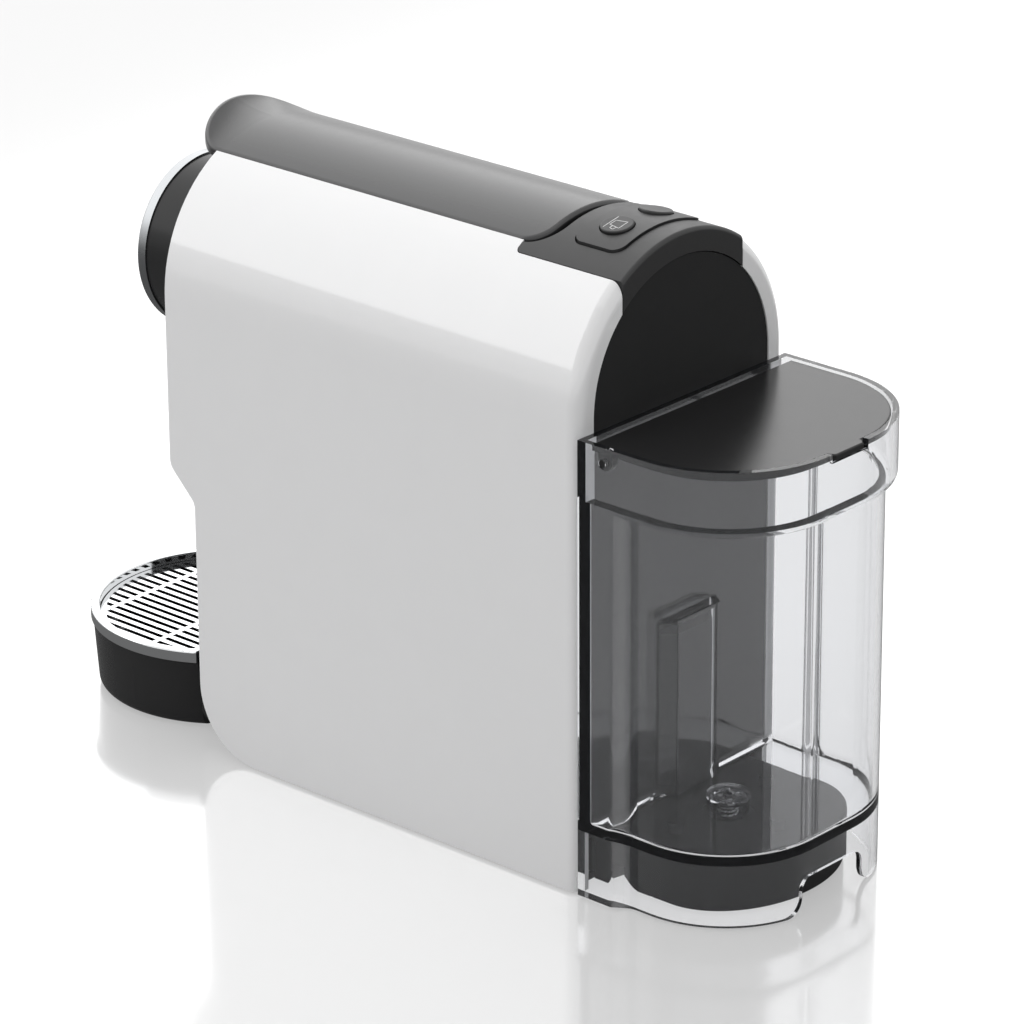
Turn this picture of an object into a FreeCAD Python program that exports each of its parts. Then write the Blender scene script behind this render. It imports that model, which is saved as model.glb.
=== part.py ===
import FreeCAD, Part

import math
import os
import re

import Sketcher

# Capsule coffee machine, millimetres, +Z up. X runs across the body, Y from the drip tray at
# the front (-Y) to the water tank at the rear (+Y). The origin is on the floor, at the middle
# of the whole machine's length.

Vector = FreeCAD.Vector
Rotation = FreeCAD.Rotation

doc = FreeCAD.newDocument("CapsuleCoffeeMachine")
sizes = doc.addObject("Spreadsheet::Sheet", "Sizes")
layout = doc.addObject("Spreadsheet::Sheet", "Layout")

SIZES = {
    # white outer shell: an arch drawn out along Y
    "body_width": 114.6,
    "crown_height": 238.8,
    "shell_length": 203.2,
    "shell_wall": 2.6,
    "floor_gap": 0.8,
    "rear_lip": 9.1,
    "rear_round": 5.0,
    "column_setback": 12.5,
    "step_low": 102.0,
    "toe_round": 28.0,
    "step_round": 6.0,
    "lever_slot_half": 28.0,
    "panel_slot_half": 33.0,
    "panel_ear_reach": 50.2,
    "ear_round": 2.0,
    # clearances
    "seam": 0.3,
    "running_gap": 0.05,
    # base and feet
    "foot_height": 2.0,
    "foot_radius": 7.0,
    "base_thickness": 2.6,
    "base_toe": 36.5,
    "boss_radius": 4.0,
    "screw_radius": 1.5,
    "screw_head_radius": 2.8,
    # capsule drawer, drip cup, ring and grille
    "tray_radius": 53.2,
    "tray_ahead": 30.0,
    "tray_top": 33.0,
    "ring_height": 4.7,
    "ring_width": 3.6,
    "cup_wall": 2.0,
    "cup_inset": 0.8,
    "cup_taper": 1.8,
    "cup_foot_round": 3.0,
    "grille_drop": 3.4,
    "grille_thickness": 1.2,
    "slot_width": 2.2,
    "slot_pitch": 4.45,
    "grille_rib": 2.0,
    "grille_rib_step": 36.7,
    "grille_rib_ahead": 33.2,
    "column_inset": 12.3,
    "column_proud": 1.5,
    "column_round": 3.0,
    "drawer_top": 101.0,
    "drawer_wall": 2.0,
    "drawer_depth": 92.0,
    # water tank, its lid and its dock
    "tank_depth": 76.1,
    "tank_straight": 30.8,
    "tank_top": 177.0,
    "ledge_height": 151.5,
    "ledge_step": 4.3,
    "ledge_round": 3.6,
    "rim_bead_height": 3.2,
    "tank_wall": 2.4,
    "tank_front_wall": 2.6,
    "tank_plate_top": 27.0,
    "tank_plate": 2.6,
    "flange_reach": 15.8,
    "flange_end": 22.0,
    "flange_round": 3.0,
    "flange_hollow": 8.0,
    "skirt_notch_half": 17.0,
    "skirt_notch_top": 15.1,
    "skirt_notch_round": 5.0,
    "skirt_notch_flare": 7.0,
    "rim_notch_half": 10.0,
    "rim_notch_depth": 3.4,
    "pocket_top": 94.0,
    "pocket_depth": 6.4,
    "pocket_face_half": 10.0,
    "pocket_root_half": 17.5,
    "lid_thickness": 2.5,
    "lid_gap": 0.5,
    "lid_tab_half": 7.6,
    "lid_sink": 0.6,
    "lid_setback": 5.5,
    "lid_pin_back": 11.5,
    "lid_pin_drop": 6.1,
    "lid_pin_radius": 1.6,
    "dock_half": 42.0,
    "dock_straight": 31.4,
    "dock_curve": 31.0,
    "dock_height": 20.0,
    "valve_back": 23.1,
    "valve_tube_radius": 7.6,
    "valve_tube_wall": 1.8,
    "valve_tube_foot": 12.0,
    "valve_lift": 3.0,
    # head at the front: drum, bright ring and cap
    "head_drop": 56.7,
    "drum_radius": 33.7,
    "drum_wall": 2.4,
    "nose_ring_radius": 34.3,
    "nose_ring_depth": 4.5,
    "head_reach": 38.2,
    "front_plate_inset": 4.0,
    "front_plate": 2.5,
    "spout_ahead": 18.0,
    "spout_radius": 5.0,
    "spout_drop": 46.1,
    # lever
    "lever_overhang": 19.2,
    "lever_tip_depth": 18.0,
    "lever_bend_back": 2.0,
    "lever_rise_radius": 60.0,
    "lever_cover": 2.8,
    "lever_gap": 0.5,
    "lever_edge_round": 1.8,
    "lever_rear_back": 42.7,
    "lever_rear_round": 10.0,
    "lever_swing": 80.0,
    "hinge_back": 61.2,
    "hinge_drop": 10.8,
    "hinge_pin_radius": 2.0,
    "hub_radius": 4.2,
    "cheek_inner": 20.5,
    "cheek_thickness": 2.5,
    # control panel and its buttons
    "panel_thickness": 2.8,
    "panel_gap": 3.6,
    "panel_rear_round": 1.5,
    "island_half": 23.2,
    "island_front": 32.3,
    "island_rear": 10.2,
    "island_round": 4.5,
    "island_gap": 0.5,
    "island_proud": 0.8,
    "button_radius": 6.2,
    "button_offset": 10.4,
    "button_back": 21.7,
    "button_proud": 1.7,
    "button_round": 0.6,
    "button_travel": 1.0,
    "board_drop": 20.4,
    "board_thickness": 1.6,
    "switch_height": 4.6,
    # brewing unit
    "brew_drop": 53.8,
    "piston_radius": 19.5,
    "piston_length": 73.5,
    "piston_stroke": 32.0,
    "capsule_depth": 28.0,
    "capsule_radius": 18.2,
    "plate_back": 20.2,
    "plate_thick": 2.2,
    "drive_pin_ahead": 5.0,
    "drive_pin_rise": 20.0,
    "drive_pin_radius": 2.0,
    "chassis_half": 27.4,
    "chassis_wall": 2.4,
    "chassis_drop": 25.0,
    "bridge_rise": 23.0,
    "bridge_thickness": 3.0,
    "ear_inner": 14.0,
    "ear_thickness": 4.0,
    "deck_drop": 5.8,
    "deck_thickness": 2.0,
    # water circuit and electrics
    "heater_half": 19.0,
    "heater_length": 40.0,
    "heater_height": 46.0,
    "inlet_tube_radius": 2.9,
    "pump_height": 64.0,
    "pump_half": 18.0,
    "pump_reach": 35.0,
    "pump_coil_half": 17.0,
    "pump_mount_step": 22.0,
    "pump_nose_radius": 10.0,
    "mount_radius": 14.0,
    "meter_offset": 30.0,
    "meter_radius": 11.0,
    "meter_height": 18.0,
    "hose_radius": 3.0,
    "hose_bend": 10.0,
    "gland_radius": 6.0,
    "gland_height": 16.0,
    "cord_hole_radius": 3.5,
}

LAYOUT = {
    "half_width": "body_width / 2",
    "arch_height": "crown_height - body_width / 2",
    "inner_half": "half_width - shell_wall",
    "total_length": "tray_radius + tray_ahead + shell_length + tank_depth",
    "back_plane": "total_length / 2 - tank_depth",
    "front_edge": "back_plane - shell_length",
    "column_edge": "front_edge + column_setback",
    "step_high": "step_low + column_setback",
    "tray_centre": "front_edge - tray_ahead",
    "cup_lip_radius": "tray_radius - cup_inset",
    "cup_foot_radius": "cup_lip_radius - cup_taper",
    "drawer_front": "front_edge - column_proud",
    "drawer_rear": "drawer_front + drawer_depth",
    "base_top": "foot_height + base_thickness",
    "drawer_floor": "base_top + seam",
    "collar_radius": "tank_depth - tank_straight",
    "tank_corner_x": "half_width - collar_radius",
    "tank_corner_y": "back_plane + tank_straight",
    "tank_radius": "collar_radius - ledge_step",
    "tank_wall_x": "tank_corner_x + tank_radius",
    "tank_front": "back_plane + seam",
    "valve_centre": "back_plane + valve_back",
    "lid_pin_y": "back_plane + lid_pin_back",
    "lid_pin_z": "tank_top - lid_pin_drop",
    "lid_top": "tank_top - lid_sink",
    "opening_half": "half_width - rear_lip",
    "column_half": "half_width - column_inset",
    "lever_half": "lever_slot_half - lever_gap",
    "lever_tip": "front_edge - lever_overhang",
    "lever_bend": "front_edge + lever_bend_back",
    "lever_rear": "back_plane - lever_rear_back",
    "lever_inner": "half_width - lever_cover",
    "ear_front": "back_plane - panel_ear_reach",
    "panel_half": "panel_slot_half - seam",
    "panel_inner": "half_width - panel_thickness",
    "hinge_y": "back_plane - hinge_back",
    "hinge_height": "crown_height - hinge_drop",
    "board_height": "crown_height - board_drop",
    "brew_height": "crown_height - brew_drop",
    "chassis_foot": "brew_height - chassis_drop",
    "bridge_height": "brew_height + bridge_rise",
    "drive_pin_height": "brew_height + drive_pin_rise",
    "deck_radius": "half_width - deck_drop",
    "head_axis_height": "crown_height - head_drop",
    "spout_foot": "head_axis_height - spout_drop",
    "plate_face": "front_edge + plate_back",
    "piston_front": "plate_face + seam",
    "piston_rear": "piston_front + piston_length",
    "drive_pin_y": "piston_rear - drive_pin_ahead",
    "heater_rear": "back_plane - shell_wall - 4.6",
    "heater_front": "heater_rear - heater_length",
    "button_y": "back_plane - button_back",
    "head_front": "front_edge - head_reach",
    "spout_y": "front_edge - spout_ahead",
    "pump_middle": "back_plane - 58",
    "pump_front": "pump_middle - pump_reach",
    "pump_rear": "pump_middle + pump_reach",
    "meter_y": "back_plane - 52",
    "water_port": "valve_tube_foot - 1",
    "gland_y": "back_plane - 31",
}

for row, (alias, value) in enumerate(SIZES.items(), start=1):
    sizes.set("A%d" % row, alias)
    sizes.set("B%d" % row, str(value))
    sizes.setAlias("B%d" % row, alias)


def expression(text):
    """Put the sheet's name before each size or place that the text names."""

    def qualified(found):
        word = found.group(0)
        if word in SIZES:
            return "Sizes." + word
        return "Layout." + word if word in LAYOUT else word

    return re.sub(r"[a-z][a-z_]*[a-z]", qualified, str(text))


for row, (alias, formula) in enumerate(LAYOUT.items(), start=1):
    layout.set("A%d" % row, alias)
    layout.set("B%d" % row, "=" + expression(formula).replace("Layout.", ""))
    layout.setAlias("B%d" % row, alias)
doc.recompute()


def value(alias):
    """The number that a size or place has now."""
    sheet = sizes if alias in SIZES else layout
    return float(sheet.get(alias))


# Helpers: primitives, booleans and sketches bound to the sheets

TURNS = {
    "x": Rotation(Vector(0, 1, 0), 90),
    "y": Rotation(Vector(1, 0, 0), -90),
    "z": Rotation(),
}
OTHER_AXES = {"x": "yz", "y": "xz", "z": "xy"}


def both(low_and_high):
    """A pair of expressions, or a half size that stands for minus and plus itself."""
    if isinstance(low_and_high, str):
        return "-(%s)" % low_and_high, low_and_high
    return low_and_high


def box(name, across, along, upward):
    item = doc.addObject("Part::Box", name)
    for axis, side, span in zip("xyz", ("Length", "Width", "Height"), (across, along, upward)):
        low, high = both(span)
        item.setExpression("Placement.Base." + axis, expression(low))
        item.setExpression(side, expression("(%s) - (%s)" % (high, low)))
    return item


def place_round(item, axis, start, centre):
    item.Placement = FreeCAD.Placement(Vector(), TURNS[axis])
    item.setExpression("Placement.Base." + axis, expression(start))
    for other, place in zip(OTHER_AXES[axis], centre):
        item.setExpression("Placement.Base." + other, expression(place))
    return item


def cylinder(name, axis, radius, span, centre):
    """A cylinder along one axis; centre gives its place on the other two, in X, Y, Z order."""
    low, high = both(span)
    item = doc.addObject("Part::Cylinder", name)
    item.setExpression("Radius", expression(radius))
    item.setExpression("Height", expression("(%s) - (%s)" % (high, low)))
    return place_round(item, axis, low, centre)


def cone(name, axis, first_radius, last_radius, span, centre):
    item = doc.addObject("Part::Cone", name)
    item.setExpression("Radius1", expression(first_radius))
    item.setExpression("Radius2", expression(last_radius))
    item.setExpression("Height", expression("(%s) - (%s)" % (span[1], span[0])))
    return place_round(item, axis, span[0], centre)


def torus(name, axis, major, minor, place):
    item = doc.addObject("Part::Torus", name)
    item.setExpression("Radius1", expression(major))
    item.setExpression("Radius2", expression(minor))
    item.Placement = FreeCAD.Placement(Vector(), TURNS[axis])
    for letter, where in zip("xyz", place):
        item.setExpression("Placement.Base." + letter, expression(where))
    return item


def oval(name, across, along, middle, upward):
    """An upright elliptical block on the machine's centre plane."""
    outline = doc.addObject("Part::Ellipse", name + "Outline")
    outline.setExpression("MajorRadius", expression(across))
    outline.setExpression("MinorRadius", expression(along))
    outline.setExpression("Placement.Base.y", expression(middle))
    outline.setExpression("Placement.Base.z", expression(upward[0]))
    item = doc.addObject("Part::Extrusion", name)
    item.Base = outline
    item.DirMode = "Custom"
    item.Dir = Vector(0, 0, 1)
    item.Solid = True
    item.setExpression("LengthFwd", expression("(%s) - (%s)" % (upward[1], upward[0])))
    return item


def fuse(name, items, refine=True):
    item = doc.addObject("Part::MultiFuse", name)
    item.Shapes = list(items)
    item.Refine = refine
    return item


def common(name, first, second):
    item = doc.addObject("Part::MultiCommon", name)
    item.Shapes = [first, second]
    item.Refine = True
    return item


def cut(name, base, *tools):
    item = doc.addObject("Part::Cut", name)
    item.Base = base
    item.Tool = tools[0] if len(tools) == 1 else fuse(name + "Tools", tools, refine=False)
    item.Refine = True
    return item


def tube(name, axis, outer, inner, span, centre):
    low, high = both(span)
    bore = cylinder(name + "Bore", axis, inner, ("(%s) - 1" % low, "(%s) + 1" % high), centre)
    return cut(name, cylinder(name + "Body", axis, outer, span, centre), bore)


def rounded(name, base, radius, chosen):
    """Fillet the edges for which chosen(edge) is true."""
    doc.recompute()
    edges = [i for i, edge in enumerate(base.Shape.Edges, start=1) if chosen(edge)]
    if not edges:
        raise RuntimeError("no edge to round on " + name)
    item = doc.addObject("Part::Fillet", name)
    item.Base = base
    item.Edges = [(i, radius, radius) for i in edges]
    doc.recompute()
    return item


def upright(edge):
    """True for an edge that runs along Z."""
    box_of = edge.BoundBox
    return box_of.XLength < 1e-6 and box_of.YLength < 1e-6


def at(edge, **places):
    """True for an edge whose middle lies at the named coordinates, to 0.01 mm."""
    middle = edge.valueAt((edge.FirstParameter + edge.LastParameter) / 2)
    return all(abs(getattr(middle, axis) - place) < 0.01 for axis, place in places.items())


def sketch_body(name, plane, corners, offset="0"):
    """A PartDesign body with one closed polygon sketch, each corner bound to two expressions."""
    body = doc.addObject("PartDesign::Body", name + "Body")
    sketch = body.newObject("Sketcher::SketchObject", name + "Sketch")
    origin_plane = [item for item in body.Origin.OriginFeatures if item.Role == plane][0]
    sketch.AttachmentSupport = (origin_plane, [""])
    sketch.MapMode = "FlatFace"
    sketch.setExpression("AttachmentOffset.Base.z", expression(offset))
    turn = 2 * math.pi / len(corners)
    ring = [Vector(math.cos(i * turn), math.sin(i * turn), 0) for i in range(len(corners))]
    for i, corner in enumerate(ring):
        sketch.addGeometry(Part.LineSegment(corner, ring[(i + 1) % len(ring)]))
    for i in range(len(ring)):
        sketch.addConstraint(Sketcher.Constraint("Coincident", i, 2, (i + 1) % len(ring), 1))
    for i, corner in enumerate(corners):
        start = (ring[i].x, ring[i].y)
        for kind, first, text in zip(("DistanceX", "DistanceY"), start, corner):
            number = sketch.addConstraint(Sketcher.Constraint(kind, -1, 1, i, 1, first))
            sketch.renameConstraint(number, "%s%d" % (kind, i))
            sketch.setExpression("Constraints.%s%d" % (kind, i), expression(text))
    return body, sketch


def pad(name, plane, corners, length, offset="0", away=False):
    body, sketch = sketch_body(name, plane, corners, offset)
    feature = body.newObject("PartDesign::Pad", name + "Pad")
    feature.Profile = sketch
    feature.setExpression("Length", expression(length))
    feature.Reversed = away
    return body


def revolved(name, corners, centre):
    """Turn a profile of (radius, height) corners about an upright axis through centre."""
    body, sketch = sketch_body(name, "XZ_Plane", corners)
    feature = body.newObject("PartDesign::Revolution", name + "Turn")
    feature.Profile = sketch
    feature.ReferenceAxis = (sketch, ["V_Axis"])
    feature.Angle = 360
    for axis, place in zip("xy", centre):
        body.setExpression("Placement.Base." + axis, expression(place))
    return body


def feature_of(name, shape):
    item = doc.addObject("Part::Feature", name)
    item.Shape = shape
    return item


nodes = []


def node(label, item):
    """Name a finished sub-part; its label names its file."""
    item.Label = label
    nodes.append(item)
    return item


# Shapes that several pieces share


def arch(name, radius, along, foot):
    """A solid arch: half a cylinder along Y on straight sides down to foot."""
    return fuse(name, [
        cylinder(name + "Round", "y", radius, along, ("0", "arch_height")),
        box(name + "Sides", radius, along, (foot, "arch_height")),
    ])


def arch_band(name, outer, inner, along):
    return tube(name, "y", outer, inner, along, ("0", "arch_height"))


def tank_block(name, radius, front, upward):
    """The tank's plan: straight sides, two round corners and a nearly flat back."""
    middle = "tank_corner_y"
    blocks = [
        box(name + "Wide", "tank_corner_x + " + radius, (front, middle), upward),
        box(name + "Deep", "tank_corner_x", (front, middle + " + " + radius), upward),
    ]
    for side, sign in (("Left", "-"), ("Right", "")):
        centre = (sign + "tank_corner_x", middle)
        blocks.append(cylinder(name + side, "z", radius, upward, centre))
    keep = box(name + "Keep", "half_width + 1", (front, "back_plane + tank_depth + 1"), upward)
    return common(name, fuse(name + "All", blocks), keep)


def pocket_prism(name, grow, foot, top):
    """The tapered guide shape between the body and the tank, grown sideways by a clearance."""
    root = "pocket_root_half + " + grow
    face = "pocket_face_half + " + grow
    reach = "pocket_depth + " + grow
    corners = [
        ("-(%s)" % root, "back_plane - 2"),
        (root, "back_plane - 2"),
        (face, "back_plane + " + reach),
        ("-(%s)" % face, "back_plane + " + reach),
    ]
    return pad(name, "XY_Plane", corners, "(%s) - (%s)" % (top, foot), offset=foot)


# Outer shell, base and the fixed covers


def screw_places():
    """Where the four base screws stand: X sign, and Y as an expression."""
    places = []
    for along in ("column_edge + base_toe + 6", "back_plane - 14"):
        for sign in ("-", ""):
            places.append((sign + "(inner_half - boss_radius + 0.5)", along))
    return places


def chassis_places():
    """Where the four chassis screws run: Y and Z as expressions."""
    return [
        ("front_edge + 22", "chassis_foot + 8"),
        ("front_edge + 22", "bridge_height - 10"),
        ("back_plane - 20", "chassis_foot + 8"),
        ("back_plane - 20", "bridge_height - 10"),
    ]


def board_places():
    """Where the main board's four posts stand: Y and Z as expressions."""
    return [(y, z) for y in ("back_plane - 90", "back_plane - 26") for z in ("56", "124")]


def outer_shell():
    length = ("front_edge", "back_plane")
    outer = rounded("ShellRounded", arch("ShellOuter", "half_width", length, "floor_gap"),
                    value("rear_round"),
                    lambda edge: at(edge, y=value("back_plane")) and
                    edge.BoundBox.ZMax > value("floor_gap") + 1)
    inner = arch("ShellInner", "inner_half", ("front_edge - 1", "back_plane - shell_wall"), "-1")
    opening = arch("ShellOpening", "opening_half", ("front_edge", "back_plane + 1"), "-1")
    step = box("ShellStep", "half_width + 1", ("front_edge - 1", "column_edge"),
               ("-1", "step_low"))
    slope = pad("ShellSlope", "YZ_Plane", [
        ("front_edge - 1", "step_low - 1"),
        ("column_edge", "step_low - 1"),
        ("column_edge", "step_low"),
        ("front_edge", "step_high"),
        ("front_edge - 1", "step_high"),
    ], "body_width + 2", offset="-half_width - 1")
    lever_slot = box("LeverSlot", "lever_slot_half", ("front_edge - 1", "ear_front"),
                     ("arch_height + 20", "crown_height + 1"))
    panel_slot = rounded("PanelSlot",
                         box("PanelSlotBox", "panel_slot_half", ("ear_front", "back_plane + 1"),
                             ("arch_height + 20", "crown_height + 1")),
                         value("ear_round") + value("seam"),
                         lambda edge: upright(edge) and at(edge, y=value("ear_front")))
    toe_block = box("ToeBlock", "half_width + 1", ("column_edge - 1", "column_edge + toe_round"),
                    ("floor_gap - 1", "floor_gap + toe_round"))
    toe_wheel = cylinder("ToeWheel", "x", "toe_round", "half_width + 2",
                         ("column_edge + toe_round", "floor_gap + toe_round"))
    toe = cut("ShellToe", toe_block, toe_wheel)
    gland = cylinder("GlandHole", "x", "gland_radius + 0.1",
                     ("-half_width - 1", "-inner_half + 1"), ("gland_y", "gland_height"))
    bends = ((value("front_edge"), value("step_high")), (value("column_edge"), value("step_low")))
    skin = rounded("ShellSkin",
                   cut("ShellSkinCut", outer, inner, opening, step, slope, lever_slot, panel_slot,
                       toe, gland),
                   value("step_round"),
                   lambda edge: any(at(edge, y=along, z=upward) for along, upward in bends))
    posts = []
    for i, centre in enumerate(screw_places()):
        post = cylinder("BasePost%d" % i, "z", "boss_radius", ("base_top + 0.2", "30"), centre)
        hole = cylinder("BasePostHole%d" % i, "z", "screw_radius + 0.1", ("0", "24"), centre)
        posts.append(cut("BasePostBored%d" % i, post, hole))
    for i, centre in enumerate(chassis_places()):
        for side in (-1, 1):
            near, far = "%d * (chassis_half + 0.2)" % side, "%d * (inner_half + 1)" % side
            span = (near, far) if side > 0 else (far, near)
            name = "SidePost%d%s" % (i, "R" if side > 0 else "L")
            post = cylinder(name, "x", "boss_radius", span, centre)
            hole = cylinder(name + "Hole", "x", "screw_radius + 0.1", span, centre)
            posts.append(cut(name + "Bored", post, hole))
    for i, centre in enumerate(board_places()):
        posts.append(cylinder("BoardPost%d" % i, "x", "2.5",
                              ("-inner_half - 1", "-inner_half + 4"), centre))
    outside = arch("ShellLimit", "half_width - 0.2", length, "floor_gap")
    kept = common("ShellPosts", fuse("ShellPostGroup", posts, refine=False), outside)
    floor = cut("ShellFloor",
                box("ShellFloorSlab", "inner_half + 0.5",
                    ("column_edge + base_toe - 12", "column_edge + base_toe - seam"),
                    ("floor_gap", "floor_gap + shell_wall")),
                toe)
    shell = fuse("OuterShell", [skin, kept, floor])
    return node("outer_shell", shell)


def base_plate():
    along = ("column_edge + base_toe", "back_plane - shell_wall - seam")
    plate = box("BaseSlab", "inner_half - seam", along, ("foot_height", "base_top"))
    holes = [cylinder("BaseHole%d" % i, "z", "screw_radius + 0.2", ("0", "base_top + 1"), centre)
             for i, centre in enumerate(screw_places())]
    slab = cut("BaseBored", plate, *holes)
    cradles = []
    for i, where in enumerate(mount_places()):
        post = box("Cradle%d" % i, "16", ("%s - 3.6" % where, "%s + 3.6" % where),
                   ("base_top - 0.5", "pump_height - 4"))
        seat = cylinder("CradleSeat%d" % i, "y", "mount_radius + 0.1",
                        ("%s - 5" % where, "%s + 5" % where), ("0", "pump_height"))
        tunnel = box("CradleTunnel%d" % i, "6", ("%s - 5" % where, "%s + 5" % where),
                     ("base_top", "22"))
        cradles.append(cut("CradleCut%d" % i, post, seat, tunnel))
    rim = tube("MeterSeat", "z", "meter_radius + 2", "meter_radius + 0.2",
               ("base_top - 0.5", "base_top + 2"), ("-meter_offset", "meter_y"))
    return node("base_plate", fuse("BasePlate", [slab, rim] + cradles))


def rubber_feet():
    feet = []
    for i, (across, along) in enumerate(foot_places()):
        foot = cone("Foot%d" % i, "z", "foot_radius - 0.6", "foot_radius",
                    ("0", "foot_height"), (across, along))
        feet.append(foot)
    return node("rubber_feet", fuse("RubberFeet", feet, refine=False))


def foot_places():
    places = []
    for along in ("column_edge + base_toe + 20", "back_plane - 30"):
        for sign in ("-", ""):
            places.append((sign + "(column_half - 6)", along))
    return places


def base_screws():
    screws = []
    for i, centre in enumerate(screw_places()):
        head = cylinder("BaseScrewHead%d" % i, "z", "screw_head_radius",
                        ("foot_height - 1.3", "foot_height - 0.05"), centre)
        shank = cylinder("BaseScrewShank%d" % i, "z", "screw_radius",
                         ("foot_height - 0.6", "20"), centre)
        screws.append(fuse("BaseScrew%d" % i, [head, shank]))
    return node("base_screws", fuse("BaseScrews", screws, refine=False))


def chassis_screws():
    screws = []
    for i, centre in enumerate(chassis_places()):
        for side in (-1, 1):
            inner = "%d * (chassis_half - chassis_wall - 1.4)" % side
            face = "%d * (chassis_half - chassis_wall - 0.05)" % side
            tip = "%d * (chassis_half + 14)" % side
            head_span = (inner, face) if side > 0 else (face, inner)
            shank_span = (inner, tip) if side > 0 else (tip, inner)
            name = "ChassisScrew%d%s" % (i, "R" if side > 0 else "L")
            head = cylinder(name + "Head", "x", "screw_head_radius", head_span, centre)
            shank = cylinder(name + "Shank", "x", "screw_radius", shank_span, centre)
            screws.append(fuse(name, [head, shank]))
    return node("chassis_screws", fuse("ChassisScrews", screws, refine=False))


def rear_panel():
    """The black inset panel behind the tank, with the rib that guides the tank down."""
    along = ("back_plane - 3.2", "back_plane - 0.5")
    plate = arch("RearPlate", "opening_half - 0.15", along, "dock_height + 0.4")
    panel_gap = box("RearPanelGap", "panel_half + 0.3", ("back_plane - 6", "back_plane + 1"),
                    ("arch_height + opening_half - 9", "crown_height"))
    skirt = cylinder("RearPanelSkirt", "y", "opening_half - 0.3",
                     ("back_plane - 6", "back_plane + 1"), ("0", "arch_height"))
    relief = cut("RearPanelRelief", panel_gap, skirt)
    rib = pocket_prism("GuideRib", "-0.6", "tank_plate_top + 3", "pocket_top - 4")
    back_rim = arch("RearRimOuter", "inner_half - 0.2", ("back_plane - 6", "back_plane - 3.1"),
                    "dock_height + 0.4")
    rim_hole = arch("RearRimInner", "opening_half - 5", ("back_plane - 7", "back_plane - 2"),
                    "dock_height - 1")
    rim_gap = box("RearRimGap", "40", ("back_plane - 7", "back_plane - 3"),
                  ("arch_height + 28", "crown_height"))
    rim = cut("RearRim", back_rim, rim_hole, rim_gap)
    return node("rear_panel", fuse("RearPanel", [cut("RearFace", plate, relief), rib, rim]))


def front_frame():
    """The black plate behind the shell's front edge: it holds the drum and frames the drawer."""
    upper_y = ("front_edge + front_plate_inset", "front_edge + front_plate_inset + front_plate")
    upper = arch("FrameUpper", "inner_half - 0.2", upper_y, "step_high - 4")
    lever_room = box("FrameLeverRoom", "lever_slot_half + 1", ("front_edge", "front_edge + 9"),
                     ("arch_height + deck_radius - 9", "crown_height"))
    drum_hole = cylinder("FrameDrumHole", "y", "drum_radius + 0.1",
                         ("front_edge", "front_edge + 9"), ("0", "head_axis_height"))
    lower_y = ("column_edge + 0.6", "column_edge + 3.4")
    lower = box("FrameLower", "inner_half - 0.2", lower_y, ("floor_gap + 8", "step_low + 1"))
    mouth = box("FrameMouth", "column_half + seam", ("column_edge - 1", "column_edge + 5"),
                ("0", "drawer_top + 0.6"))
    toe_block = box("FrameToeBlock", "half_width", ("column_edge - 1", "column_edge + toe_round"),
                    ("0", "floor_gap + toe_round"))
    toe_wheel = cylinder("FrameToeWheel", "x", "toe_round - 0.6", "half_width + 1",
                         ("column_edge + toe_round", "floor_gap + toe_round"))
    toe = cut("FrameToe", toe_block, toe_wheel)
    slope = pad("FrameSlope", "YZ_Plane", [
        ("column_edge + 0.6", "step_low + 0.4"),
        ("column_edge + 3.4", "step_low + 0.4"),
        ("column_edge + 3.4", "step_low + 2"),
        ("front_edge + front_plate_inset + front_plate", "step_high - 3.6"),
        ("front_edge + front_plate_inset", "step_high - 3.6"),
        ("front_edge + front_plate_inset", "step_high - 5.0"),
        ("column_edge + 0.6", "step_low + 1.0"),
    ], "2 * inner_half - 0.4", offset="-inner_half + 0.2")
    frame = fuse("FrameSolid", [
        cut("FrameUpperCut", upper, lever_room, drum_hole),
        cut("FrameLowerCut", lower, mouth, toe),
        slope,
    ])
    return node("front_frame", frame)


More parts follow.
